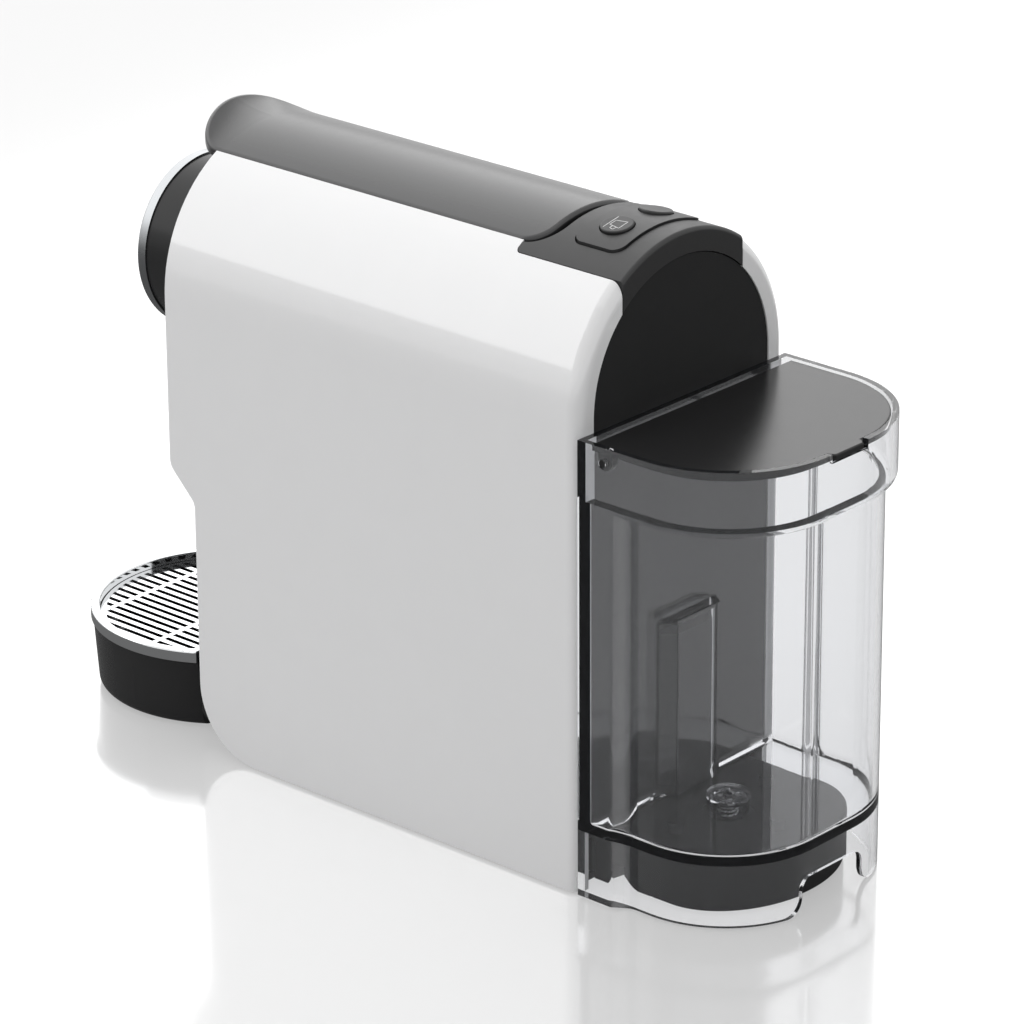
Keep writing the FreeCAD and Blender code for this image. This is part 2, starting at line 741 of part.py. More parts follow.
def control_panel():
    """The arched black cover behind the lever, with ears beside it and a skirt at the rear."""
    band = arch_band("PanelBand", "half_width", "panel_inner", ("ear_front + seam", "back_plane"))
    plan = rounded("PanelPlan",
                   box("PanelPlanBox", "panel_half", ("ear_front + seam", "back_plane"),
                       ("arch_height", "crown_height + 1")),
                   value("ear_round"),
                   lambda edge: upright(edge) and
                   at(edge, y=value("ear_front") + value("seam")))
    lever_outline = rounded(
        "PanelLeverRoom",
        box("PanelLeverBox", "lever_half + 1.3",
            ("ear_front - 30", "lever_rear + panel_gap"), ("arch_height", "crown_height + 2")),
        value("lever_rear_round") + 2.0,
        lambda edge: upright(edge) and at(edge, y=value("lever_rear") + value("panel_gap")))
    island = rounded(
        "PanelIslandRoom",
        box("PanelIslandBox", "island_half + island_gap",
            ("back_plane - island_front - island_gap", "back_plane - island_rear + island_gap"),
            ("arch_height", "crown_height + 2")),
        value("island_round") + value("island_gap"), upright)
    skirt_ring = arch_band("PanelSkirtRing", "half_width", "opening_half + 0.1",
                           ("back_plane - 3.2", "back_plane"))
    skirt = common("PanelSkirt", skirt_ring,
                   box("PanelSkirtBox", "panel_half", ("back_plane - 3.2", "back_plane"),
                       ("arch_height + 20", "crown_height + 1")))
    top = common("PanelTop", band, plan)
    solid = fuse("PanelSolid", [top, skirt])
    rolled = rounded("PanelRolled", solid, value("panel_rear_round"),
                     lambda edge: at(edge, x=0, y=value("back_plane"), z=value("crown_height")))
    flange_ring = arch_band("PanelFlangeRing", "panel_inner - 0.1", "panel_inner - 2.0",
                            ("back_plane - island_front - 4", "back_plane - 7"))
    flange = common("PanelFlange", flange_ring,
                    box("PanelFlangeBox", "panel_slot_half + 5",
                        ("back_plane - island_front - 4", "back_plane - 7"),
                        ("arch_height + 20", "crown_height")))
    webs = common("PanelWebs",
                  arch_band("PanelWebRing", "half_width - 1", "panel_inner - 1.5",
                            ("back_plane - island_front - 3", "back_plane - 8")),
                  box("PanelWebBox", "panel_half - 0.5",
                      ("back_plane - island_front - 3", "back_plane - 8"),
                      ("arch_height + 20", "crown_height")))
    joined = fuse("PanelJoined", [rolled, flange, webs])
    return node("control_panel", cut("ControlPanel", joined, lever_outline, island))


def button_turn(side):
    """The angle, in degrees, by which a button's axis leans from upright."""
    return side * math.degrees(math.asin(value("button_offset") / value("half_width")))


def button_bezel():
    """The island that the two buttons stand in, with four posts for their board."""
    along = ("back_plane - island_front", "back_plane - island_rear")
    band = arch_band("BezelBand", "half_width + island_proud", "panel_inner", along)
    outline = rounded("BezelOutline",
                      box("BezelBox", "island_half", along, ("arch_height", "crown_height + 2")),
                      value("island_round"), upright)
    top = common("BezelTop", band, outline)
    holes = [leaning_cylinder("BezelHole%d" % side, side, value("button_radius") + 0.35,
                              value("panel_inner") - 9, value("half_width") + 9)
             for side in (-1, 1)]
    plate = cut("BezelPlate", top, *holes)
    limit = cylinder("BezelLimit", "y", "half_width - 0.5", along, ("0", "arch_height"))
    posts = [cylinder("BezelPost%d" % i, "z", "1.6",
                      ("board_height + board_thickness + 0.05", "crown_height"), centre)
             for i, centre in enumerate(board_post_places())]
    kept = common("BezelPosts", fuse("BezelPostGroup", posts, refine=False), limit)
    return node("button_bezel", fuse("ButtonBezel", [plate, kept]))


def board_post_places():
    return [(across, along)
            for across in ("-island_half + 3.6", "island_half - 3.6")
            for along in ("back_plane - island_front + 3.4", "back_plane - island_rear - 3.4")]


def leaning_cylinder(name, side, radius, low, high):
    """A cylinder square to the arch at a button, between two distances from the arch's axis."""
    shape = Part.makeCylinder(radius, high - low, Vector(0, 0, low))
    item = feature_of(name, shape)
    item.Placement = FreeCAD.Placement(
        Vector(0, value("button_y"), value("arch_height")),
        Rotation(Vector(0, 1, 0), button_turn(side)))
    return item


def button(label, side):
    name = "Button%d" % (side + 1)
    crown = value("half_width")
    under = value("panel_inner") - 0.7
    proud = value("button_proud")
    disc = Part.makeCylinder(value("button_radius"), crown + proud - under, Vector(0, 0, under))
    top = [edge for edge in disc.Edges if at(edge, z=crown + proud)]
    disc = disc.makeFillet(value("button_round"), top)
    flange = Part.makeCylinder(value("button_radius") + 1, 2.0, Vector(0, 0, under - 2.0))
    plunger_top = value("board_height") + value("board_thickness") + value("switch_height")
    lean = math.radians(button_turn(side))
    stem_radius = 1.9
    dip = stem_radius * math.sin(abs(lean)) + 0.1
    stem_foot = (plunger_top - value("arch_height")) / math.cos(lean) + value("button_travel") + dip
    stem = Part.makeCylinder(stem_radius, under - 1.0 - stem_foot, Vector(0, 0, stem_foot))
    item = feature_of(name, disc.fuse([flange, stem]).removeSplitter())
    item.Placement = FreeCAD.Placement(
        Vector(0, value("button_y"), value("arch_height")),
        Rotation(Vector(0, 1, 0), button_turn(side)))
    return node(label, item)


def button_board():
    """The small circuit board under the island, with a push switch below each button."""
    along = ("back_plane - island_front + 1", "back_plane - island_rear - 1")
    top = "board_height + board_thickness"
    parts = [box("ButtonBoardSlab", "island_half - 1", along, ("board_height", top))]
    lean = math.sin(math.radians(abs(button_turn(1))))
    offset = "(%s + switch_height - arch_height) * %.6f" % (top, lean)
    for side, sign in ((-1, "-"), (1, "")):
        across = ("%s(%s) - 3" % (sign, offset), "%s(%s) + 3" % (sign, offset))
        place = ("button_y - 3", "button_y + 3")
        parts.append(box("Switch%d" % (side + 1), across, place, (top, top + " + 3.5")))
        parts.append(cylinder("SwitchTip%d" % (side + 1), "z", "1.7",
                              (top, top + " + switch_height"),
                              ("%s(%s)" % (sign, offset), "button_y")))
    return node("button_board", fuse("ButtonBoard", parts))


# Head at the front


def nose_drum():
    span = ("head_front + nose_ring_depth + 0.1", "front_edge + front_plate_inset + 5.6")
    shell = tube("DrumTube", "y", "drum_radius", "drum_radius - drum_wall", span,
                 ("0", "head_axis_height"))
    hole = cylinder("DrumSpoutHole", "z", "spout_radius + 0.6",
                    ("head_axis_height - drum_radius - 2", "head_axis_height - drum_radius + 8"),
                    ("0", "spout_y"))
    lever_room = box("DrumLeverRoom", "lever_slot_half + 1",
                     ("front_edge", "front_edge + front_plate_inset + 9"),
                     ("arch_height + deck_radius - 21", "crown_height"))
    return node("nose_drum", cut("NoseDrum", shell, hole, lever_room))


def nose_ring():
    span = ("head_front", "head_front + nose_ring_depth")
    band = tube("NoseBand", "y", "nose_ring_radius", "nose_ring_radius - 3.4", span,
                ("0", "head_axis_height"))
    ring = rounded("NoseRing", band, 0.9,
                   lambda edge: at(edge, y=value("head_front")) and
                   edge.BoundBox.ZLength > 2 * value("nose_ring_radius") - 1)
    return node("nose_ring", ring)


def nose_cap():
    disc = cylinder("NoseDisc", "y", "nose_ring_radius - 3.5",
                    ("head_front + 1.0", "head_front + 3.4"), ("0", "head_axis_height"))
    collar = tube("NoseCollar", "y", "drum_radius - drum_wall - 0.1", "drum_radius - drum_wall - 2",
                  ("head_front + nose_ring_depth + 0.2", "head_front + nose_ring_depth + 7"),
                  ("0", "head_axis_height"))
    web = cylinder("NoseWeb", "y", "drum_radius - drum_wall - 0.1",
                   ("head_front + nose_ring_depth + 0.2", "head_front + nose_ring_depth + 2"),
                   ("0", "head_axis_height"))
    stub = cylinder("NoseStub", "y", "12", ("head_front + 3", "head_front + nose_ring_depth + 1"),
                    ("0", "head_axis_height"))
    return node("nose_cap", fuse("NoseCap", [disc, collar, web, stub]))


def coffee_spout():
    """The outlet that leads the coffee forward and down to the cup."""
    run_z = "brew_height - 22"
    run = cylinder("SpoutRun", "y", "spout_radius - 0.4", ("spout_y", "front_edge + 9.7"),
                   ("0", run_z))
    drop = cylinder("SpoutDrop", "z", "spout_radius",
                    ("spout_foot + 6", run_z + " + spout_radius + 1"), ("0", "spout_y"))
    nozzle = cone("SpoutNozzle", "z", "spout_radius - 1.2", "spout_radius",
                  ("spout_foot", "spout_foot + 6"), ("0", "spout_y"))
    flange = cylinder("SpoutFlange", "y", "spout_radius + 3",
                      ("front_edge + 7.7", "front_edge + 9.7"), ("0", run_z))
    bore_run = cylinder("SpoutBoreRun", "y", "spout_radius - 2.4",
                        ("spout_y", "front_edge + 12"), ("0", run_z))
    bore_drop = cylinder("SpoutBoreDrop", "z", "spout_radius - 2",
                         ("spout_foot - 1", run_z + " + spout_radius - 1"), ("0", "spout_y"))
    solid = fuse("SpoutSolid", [run, drop, nozzle, flange])
    return node("coffee_spout", cut("CoffeeSpout", solid, bore_run, bore_drop))


# Capsule drawer with its drip cup, ring and grille


def capsule_container():
    """The box behind the black column front that catches used capsules."""
    along = ("drawer_front", "drawer_rear")
    outer = rounded("DrawerOuter",
                    box("DrawerBox", "column_half", along, ("drawer_floor", "drawer_top")),
                    value("column_round"),
                    lambda edge: upright(edge) and at(edge, y=value("drawer_front")))
    inner = box("DrawerInner", "column_half - drawer_wall",
                ("drawer_front + drawer_wall", "drawer_rear - drawer_wall"),
                ("drawer_floor + drawer_wall", "drawer_top + 1"))
    toe_block = box("DrawerToeBlock", "half_width", ("drawer_front - 1", "drawer_front + 10"),
                    ("0", "drawer_floor + 10"))
    toe_wheel = cylinder("DrawerToeWheel", "x", "10", "half_width + 1",
                         ("drawer_front + 10", "drawer_floor + 10"))
    slots = [box("HookSlot%d" % i, across, ("drawer_front - 1", "drawer_front + drawer_wall + 1"),
                 ("18.7", "22.3"))
             for i, across in enumerate((("-26.3", "-17.7"), ("17.7", "26.3")))]
    inside = cut("DrawerOpen", outer, inner, *slots)
    return node("capsule_container", cut("DrawerToe", inside,
                                         cut("DrawerToeCut", toe_block, toe_wheel)))


def half_disc(name, radius, upward, setback):
    """A disc about the tray's centre, cut off at the drawer's front."""
    disc = cylinder(name + "Disc", "z", radius, upward, ("0", "tray_centre"))
    keep = box(name + "Keep", "tray_radius + 1", ("tray_centre - tray_radius - 1",
                                                  "drawer_front - (%s)" % setback), upward)
    return common(name, disc, keep)


def drip_cup():
    foot = "floor_gap"
    top = "tray_top - ring_height - 0.1"
    body = cone("CupBody", "z", "cup_foot_radius", "cup_lip_radius", (foot, top),
                ("0", "tray_centre"))
    body = rounded("CupRounded", body, value("cup_foot_round"),
                   lambda edge: at(edge, z=value("floor_gap")))
    hollow = cone("CupHollow", "z", "cup_foot_radius - cup_wall", "cup_lip_radius - cup_wall",
                  (foot + " + cup_wall", top), ("0", "tray_centre"))
    keep = box("CupKeep", "tray_radius", ("tray_centre - tray_radius", "drawer_front - seam"),
               ("0", "tray_top"))
    room = box("CupRoom", "tray_radius",
               ("tray_centre - tray_radius", "drawer_front - seam - cup_wall"), ("0", "tray_top"))
    shell = cut("CupShell", common("CupSolid", body, keep), common("CupInside", hollow, room))
    ledge_top = "tray_top - grille_drop - grille_thickness - 0.2"
    ledge = cut("CupLedge",
                half_disc("CupLedgeOut", "cup_lip_radius - 1",
                          (ledge_top + " - 2", ledge_top), "seam + 0.5"),
                half_disc("CupLedgeIn", "tray_radius - ring_width - 4", ("20", "40"),
                          "seam + cup_wall + 5"))
    hooks = [box("Hook%d" % i, across, ("drawer_front - 1.2", "drawer_front + drawer_wall + 0.8"),
                 ("19", "22"))
             for i, across in enumerate((("-26", "-18"), ("18", "26")))]
    return node("drip_cup", fuse("DripCup", [shell, ledge] + hooks))


def tray_ring():
    upward = ("tray_top - ring_height", "tray_top")
    outer = half_disc("TrayRingOuter", "tray_radius", upward, "seam")
    inner = half_disc("TrayRingInner", "tray_radius - ring_width",
                      ("tray_top - ring_height - 1", "tray_top + 1"), "ring_width")
    band = cut("TrayBand", outer, inner)
    ring = rounded("TrayRing", band, 0.7,
                   lambda edge: at(edge, z=value("tray_top")) and
                   edge.Length > value("tray_radius"))
    return node("tray_ring", ring)


def drip_grille():
    """A slotted plate: slots along Y, crossed by ribs, inside a plain rim."""
    upward = ("tray_top - grille_drop - grille_thickness", "tray_top - grille_drop")
    inner = "tray_radius - ring_width"
    plate = half_disc("GrillePlate", inner + " - seam", upward, "ring_width + seam")
    window = half_disc("GrilleWindow", inner + " - 2.2", ("20", "40"), "ring_width + 2.2")
    slots = []
    count = int((value("tray_radius") - value("ring_width") - 4) / value("slot_pitch"))
    for i in range(-count, count):
        middle = "%.1f * slot_pitch" % (i + 0.5)
        across = ("%s - slot_width / 2" % middle, "%s + slot_width / 2" % middle)
        slots.append(box("Slot%d" % (i + count), across,
                         ("tray_centre - tray_radius", "drawer_front"), ("19", "41")))
    ribs = []
    for i in range(2):
        start = "tray_centre - grille_rib_ahead + %d * grille_rib_step" % i
        ribs.append(box("GrilleRib%d" % i, "tray_radius",
                        ("%s - grille_rib / 2" % start, "%s + grille_rib / 2" % start),
                        ("18", "42")))
    cells = common("GrilleCells", fuse("GrilleSlots", slots, refine=False), window)
    return node("drip_grille", cut("DripGrille", plate, cut("GrilleOpen", cells, *ribs)))


# Water tank


def tank_body():
    """The clear tank: side flanges, a wide collar over a narrower wall, and a skirt below."""
    front = "tank_front"
    lower = tank_block("TankLower", "tank_radius", front, ("floor_gap", "tank_top - 1"))
    flange_end = "back_plane + flange_end"
    flange = rounded("TankFlangeRound",
                     pad("TankFlange", "XY_Plane", [
                         ("-half_width", front),
                         ("half_width", front),
                         ("half_width", "back_plane + flange_reach"),
                         ("tank_wall_x", flange_end),
                         ("-tank_wall_x", flange_end),
                         ("-half_width", "back_plane + flange_reach"),
                     ], "tank_top - 1 - floor_gap", offset="floor_gap"),
                     value("flange_round"),
                     lambda edge: upright(edge) and
                     at(edge, y=value("back_plane") + value("flange_reach")))
    walls = rounded("TankWalls", fuse("TankWallGroup", [lower, flange]), value("flange_hollow"),
                    lambda edge: upright(edge) and
                    at(edge, y=value("back_plane") + value("flange_end")))
    collar = rounded("TankCollarRound",
                     tank_block("TankCollar", "collar_radius", front, ("ledge_height", "tank_top")),
                     value("ledge_round"),
                     lambda edge: at(edge, z=value("ledge_height")) and
                     edge.CenterOfMass.y > value("tank_front") + 1)
    bead = rounded("TankBeadRound",
                   tank_block("TankBead", "collar_radius", front,
                              ("tank_top - rim_bead_height", "tank_top")),
                   0.9,
                   lambda edge: at(edge, z=value("tank_top")) and
                   edge.CenterOfMass.y > value("tank_front") + 1)
    outer = fuse("TankOuter", [walls, collar, bead])
    wall = "tank_wall"
    inside_front = "tank_front + tank_front_wall"
    well = tank_block("TankWell", "tank_radius - " + wall, inside_front,
                      ("tank_plate_top", "tank_top + 1"))
    well = rounded("TankWellRound", well, 3.0, lambda edge: at(edge, z=value("tank_plate_top")))
    mouth = tank_block("TankMouth", "collar_radius - " + wall, inside_front,
                       ("ledge_height + " + wall, "tank_top + 1"))
    under = tank_block("TankUnder", "tank_radius - " + wall, "tank_front - 1",
                       ("0", "tank_plate_top - tank_plate"))
    pocket_wall = pocket_prism("PocketWall", "2.0", "tank_plate_top - 2", "pocket_top + 2")
    pocket = pocket_prism("PocketRoom", "0", "0", "pocket_top")
    basin = cut("TankBasin", fuse("TankWells", [well, mouth], refine=False), pocket_wall)
    rear_y = ("tank_corner_y + tank_radius - tank_wall - 6", "tank_corner_y + collar_radius + 1")
    skirt_notch = rounded("SkirtNotch",
                          box("SkirtNotchBox", "skirt_notch_half", rear_y,
                              ("-2", "skirt_notch_top")),
                          value("skirt_notch_round"),
                          lambda edge: at(edge, z=value("skirt_notch_top")) and
                          edge.BoundBox.XLength < 0.01)
    flare_half = "skirt_notch_half + skirt_notch_flare"
    flare_top = "floor_gap + skirt_notch_flare"
    wheels = [cylinder("FlareWheel%d" % i, "y", "skirt_notch_flare", rear_y, (centre, flare_top))
              for i, centre in enumerate(both(flare_half))]
    skirt_flare = cut("SkirtFlare", box("SkirtFlareBox", flare_half, rear_y, ("-2", flare_top)),
                      *wheels)
    rim_notch = box("RimNotch", "rim_notch_half",
                    ("tank_corner_y + collar_radius - tank_wall - 3",
                     "tank_corner_y + collar_radius + 2"),
                    ("tank_top - rim_notch_depth", "tank_top + 1"))
    pin_hole = cylinder("LidPinHole", "x", "lid_pin_radius + running_gap", "half_width + 1",
                        ("lid_pin_y", "lid_pin_z"))
    valve_hole = cylinder("TankValveHole", "z", "valve_tube_radius - valve_tube_wall",
                          ("0", "tank_plate_top + 1"), ("0", "valve_centre"))
    body = cut("TankHollow", outer, basin, under, pocket, skirt_notch, skirt_flare, rim_notch,
               pin_hole, valve_hole)
    tube_body = tube("ValveTube", "z", "valve_tube_radius", "valve_tube_radius - valve_tube_wall",
                     ("valve_tube_foot", "tank_plate_top - 1"), ("0", "valve_centre"))
    seat = tube("ValveSeat", "z", "valve_tube_radius - 0.5", "3.2",
                ("valve_tube_foot", "valve_tube_foot + 2"), ("0", "valve_centre"))
    return node("tank_body", fuse("TankBody", [body, tube_body, seat]))


def valve_cage():
    """The slotted cap over the valve tube that the spring bears on."""
    top = "tank_plate_top + 1.6"
    disc = cylinder("CageDisc", "z", "valve_tube_radius + 0.6", ("tank_plate_top + 0.1", top),
                    ("0", "valve_centre"))
    plug = tube("CagePlug", "z", "valve_tube_radius - valve_tube_wall - 0.1", "4.4",
                ("tank_plate_top - 2.4", "tank_plate_top + 0.6"), ("0", "valve_centre"))
    slots = []
    for i in range(4):
        slot = Part.makeBox(1.6, 3.2, 6, Vector(-0.8, 2.2, -1))
        slot.rotate(Vector(), Vector(0, 0, 1), 45 + 90 * i)
        slot.translate(Vector(0, value("valve_centre"), value("tank_plate_top")))
        slots.append(feature_of("CageSlot%d" % i, slot))
    stem_hole = cylinder("CageStemHole", "z", "1.9", ("tank_plate_top - 1", top + " + 1"),
                         ("0", "valve_centre"))
    return node("valve_cage", cut("ValveCage", fuse("CageSolid", [disc, plug]), stem_hole, *slots))


def valve_plunger():
    """The plunger, held up off its seat by the dock's pin while the tank stands in place."""
    seat_top = "valve_tube_foot + 2 + 0.3 + valve_lift"
    return node("valve_plunger", revolved("ValvePlunger", [
        ("0", "valve_tube_foot + 0.6 + valve_lift"),
        ("1.7", "valve_tube_foot + 0.6 + valve_lift"),
        ("1.7", seat_top),
        ("4.8", seat_top),
        ("4.8", seat_top + " + 1.6"),
        ("1.5", seat_top + " + 1.6"),
        ("1.5", "tank_plate_top + 1"),
        ("0", "tank_plate_top + 1"),
    ], ("0", "valve_centre")))


def biarc(start, start_heading, end, end_heading):
    """Two arcs that join smoothly and leave both ends in the given directions."""
    across = end - start
    both_ways = start_heading + end_heading
    turn = 2 * (1 - start_heading.dot(end_heading))
    reach = (math.sqrt(across.dot(both_ways) ** 2 + turn * across.dot(across))
             - across.dot(both_ways)) / turn
    middle = (start + start_heading * reach + end - end_heading * reach) * 0.5
    return [arc_from(start, start_heading, middle), arc_from(end, end_heading * -1, middle)]


def arc_from(start, heading, end):
    """The arc that leaves a point in the given direction and ends at another."""
    chord = end - start
    along = chord * (1 / chord.Length)
    side = heading - along * heading.dot(along)
    bulge = chord.Length / 2 * math.tan(heading.getAngle(along) / 2)
    crest = (start + end) * 0.5 + side * (bulge / side.Length)
    return Part.Arc(start, crest, end).toShape()


def valve_spring():
    """A coil spring between the plunger's disc and the cage."""
    low = value("valve_tube_foot") + 2 + 0.3 + value("valve_lift") + 1.6 + 0.45
    high = value("tank_plate_top") - 2.4 - 0.45
    turns = 3
    radius = 3.4
    rise = (high - low) / turns

    def place(quarter):
        angle = math.pi / 2 * quarter
        return Vector(radius * math.cos(angle), radius * math.sin(angle) + value("valve_centre"),
                      low + rise * quarter / 4)

    def heading(quarter):
        angle = math.pi / 2 * quarter
        return Vector(-radius * math.sin(angle), radius * math.cos(angle),
                      rise / (2 * math.pi)).normalize()

    arcs = []
    for quarter in range(4 * turns):
        arcs += biarc(place(quarter), heading(quarter), place(quarter + 1), heading(quarter + 1))
    wire_end = Part.Wire(Part.makeCircle(0.35, place(0), heading(0)))
    coil = Part.Wire(arcs).makePipeShell([wire_end], True, False)
    print("valve_spring: least gap between turns %.2f mm" % (rise - 0.7))
    return node("valve_spring", feature_of("ValveSpring", coil))


def tank_lid():
    """The flat lid with a rear tab, and two ears whose pins sit in the tank's side walls."""
    radius = "collar_radius - tank_wall - lid_gap"
    front = "back_plane + lid_setback"
    upward = ("lid_top - lid_thickness", "lid_top")
    plate = rounded("LidPlateRound", tank_block("LidPlate", radius, front, upward), 0.6,
                    lambda edge: at(edge, z=value("lid_top")))
    tab_foot = "tank_top - rim_notch_depth + 0.5"
    root_half = "rim_notch_half - 0.6"
    root_y = "tank_corner_y + collar_radius - tank_wall"
    tip_y = "tank_corner_y + collar_radius - 0.1"
    tab = pad("LidTab", "XY_Plane", [
        ("-(%s)" % root_half, "tank_corner_y"),
        (root_half, "tank_corner_y"),
        (root_half, root_y),
        ("lid_tab_half", tip_y),
        ("-lid_tab_half", tip_y),
        ("-(%s)" % root_half, root_y),
    ], "lid_top - (%s)" % tab_foot, offset=tab_foot)
    tab = rounded("LidTabRound", tab, 0.6, lambda edge: at(edge, z=value("lid_top")))
    rib = cut("LidRib",
              tank_block("LidRibOut", radius + " - 4", "back_plane + lid_setback + 12",
                         ("lid_top - lid_thickness - 2.4", "lid_top - 1")),
              tank_block("LidRibIn", radius + " - 5.4", "back_plane + lid_setback + 13.4",
                         ("0", "lid_top - lid_thickness")))
    parts = [plate, tab, rib]
    for side in (-1, 1):
        outer = "%d * (half_width - tank_wall - lid_gap)" % side
        inner = "%d * (half_width - tank_wall - lid_gap - 3)" % side
        tip = "%d * (half_width - 0.4)" % side
        ear_span = (inner, outer) if side > 0 else (outer, inner)
        pin_span = (inner, tip) if side > 0 else (tip, inner)
        centre = ("lid_pin_y", "lid_pin_z")
        name = "LidEar" + ("R" if side > 0 else "L")
        parts.append(cylinder(name, "x", "lid_pin_radius + 1.6", ear_span, centre))
        parts.append(box(name + "Web", ear_span,
                         ("lid_pin_y - lid_pin_radius - 1.6", "lid_pin_y + lid_pin_radius + 1.6"),
                         ("lid_pin_z", "lid_top - 1")))
        parts.append(cylinder(name + "Pin", "x", "lid_pin_radius", pin_span, centre))
    return node("tank_lid", fuse("TankLid", parts))


def tank_dock():
    """The black foot under the tank, with the valve's socket and its pin."""
    upward = ("foot_height", "dock_height")
    curve = "back_plane + dock_straight"
    block = fuse("DockBlock", [
        box("DockFront", "dock_half", ("back_plane - 2.4", curve), upward),
        oval("DockRear", "dock_half", "dock_curve", curve, upward),
    ])
    block = rounded("DockRound", block, 1.2,
                    lambda edge: at(edge, z=value("dock_height")) and
                    edge.CenterOfMass.y > value("back_plane") + 1)
    tongue = box("DockTongue", "opening_half - 6", ("back_plane - 12", "back_plane - 2"),
                 ("base_top + 0.05", "base_top + 12"))
    socket = cylinder("DockSocket", "z", "valve_tube_radius + 2",
                      ("valve_tube_foot - 2", "dock_height + 1"), ("0", "valve_centre"))
    port = cylinder("DockPort", "y", "hose_radius - 1", ("back_plane - 14", "valve_centre"),
                    ("0", "water_port"))
    pin = cylinder("DockPin", "z", "1.3",
                   ("valve_tube_foot - 3", "valve_tube_foot + valve_lift + 0.4"),
                   ("0", "valve_centre"))
    rests = [cylinder("DockRest%d" % i, "z", "3",
                      ("dock_height - 1", "tank_plate_top - tank_plate - 0.2"),
                      (across, "back_plane + " + along))
             for i, (across, along) in enumerate((("-26", "20"), ("26", "20"), ("0", "46")))]
    socket_floor = cut("DockCut", fuse("DockSolid", [block, tongue]), socket, port)
    return node("tank_dock", fuse("TankDock", [socket_floor, pin] + rests))


def dock_seal():
    centre = ("0", "valve_centre")
    ring = tube("DockSeal", "z", "valve_tube_radius + 1.95", "valve_tube_radius + running_gap",
                ("dock_height - 4.5", "dock_height - 1"), centre)
    return node("dock_seal", ring)


# Lever


def lever_plan():
    """The lever's outline from above: half an ellipse ahead of a strip with round corners."""
    middle = "lever_tip + lever_tip_depth"
    strip = rounded("LeverStrip",
                    box("LeverStripBox", "lever_half", (middle, "lever_rear"),
                        ("arch_height", "crown_height + 20")),
                    value("lever_rear_round"),
                    lambda edge: upright(edge) and edge.CenterOfMass.y > value("hinge_y"))
    tip = oval("LeverTip", "lever_half", "lever_tip_depth", middle,
               ("arch_height", "crown_height + 20"))
    return fuse("LeverPlan", [strip, tip])


def lever_cover():
    """The lever's top: flush with the arch, then sweeping up past the shell's front edge."""
    straight = arch_band("LeverStraight", "half_width", "lever_inner",
                         ("lever_bend", "lever_rear"))
    above = box("LeverAbove", "half_width", ("lever_bend", "lever_rear"),
                ("arch_height + 30", "crown_height + 20"))
    straight_top = common("LeverStraightTop", straight, above)
    axis = ("0", "lever_bend", "crown_height + lever_rise_radius")
    major = "lever_rise_radius + half_width"
    curl = cut("LeverCurl", torus("LeverCurlOuter", "x", major, "half_width", axis),
               torus("LeverCurlInner", "x", major, "lever_inner", axis))
    ahead = box("LeverAhead", "half_width", ("lever_tip - 6", "lever_bend"),
                ("arch_height + 30", "crown_height + 20"))
    curl_top = common("LeverCurlTop", curl, ahead)
    solid = fuse("LeverSolid", [straight_top, curl_top])
    cover = common("LeverSharp", solid, lever_plan())
    return node("lever_cover", rounded("LeverCover", cover, value("lever_edge_round"),
                                       lambda edge: on_lever_rim(edge)))


def on_lever_rim(edge):
    """True for an edge of the cover's outline on its upper surface."""
    middle = edge.valueAt((edge.FirstParameter + edge.LastParameter) / 2)
    if abs(middle.y - value("lever_bend")) < 0.01:
        return False
    if middle.y > value("lever_bend"):
        reach = math.hypot(middle.x, middle.z - value("arch_height"))
    else:
        rise = value("crown_height") + value("lever_rise_radius") - middle.z
        turn = math.hypot(middle.y - value("lever_bend"), rise)
        reach = math.hypot(middle.x, value("lever_rise_radius") + value("half_width") - turn)
    return abs(reach - value("half_width")) < 0.01


def cam_point(share):
    """The drive pin in the lever's own frame, when the lever is open by that share."""
    across = value("drive_pin_y") + share * value("piston_stroke") - value("hinge_y")
    upward = value("drive_pin_height") - value("hinge_height")
    turn = math.radians(share * value("lever_swing"))
    return Vector(across * math.cos(turn) - upward * math.sin(turn),
                  across * math.sin(turn) + upward * math.cos(turn), 0)


def cam_outline(half, low, high):
    """A closed band of that half width along the cam curve, with round ends."""
    steps = 12
    shares = [low + (high - low) * i / steps for i in range(steps + 1)]
    middle = [cam_point(share) for share in shares]
    sides = ([], [])
    for i, point in enumerate(middle):
        ahead = middle[min(i + 1, steps)] - middle[max(i - 1, 0)]
        ahead.normalize()
        square = Vector(-ahead.y, ahead.x, 0)
        sides[0].append(point + square * half)
        sides[1].append(point - square * half)
    curves = []
    for side in (sides[0], sides[1][::-1]):
        curve = Part.BSplineCurve()
        curve.interpolate(side)
        curves.append(curve.toShape())
    last = middle[-1] - middle[-2]
    first = middle[0] - middle[1]
    last.normalize()
    first.normalize()
    cap = Part.Arc(sides[0][-1], middle[-1] + last * half, sides[1][-1]).toShape()
    foot = Part.Arc(sides[1][0], middle[0] + first * half, sides[0][0]).toShape()
    return Part.Face(Part.Wire([curves[0], cap, curves[1], foot]))


def stand_up(shape, start, thickness):
    """Turn a shape drawn as (Y, Z) about the hinge into a plate that starts at X."""
    plate = shape.extrude(Vector(0, 0, thickness))
    turned = FreeCAD.Placement(Vector(start, value("hinge_y"), value("hinge_height")),
                               Rotation(Vector(0, 0, 1), Vector(1, 0, 0)))
    frame = Rotation(Vector(0, 1, 0), Vector(0, 0, 1), Vector(1, 0, 0), "ZXY")
    turned.Rotation = frame
    plate.Placement = turned
    return plate


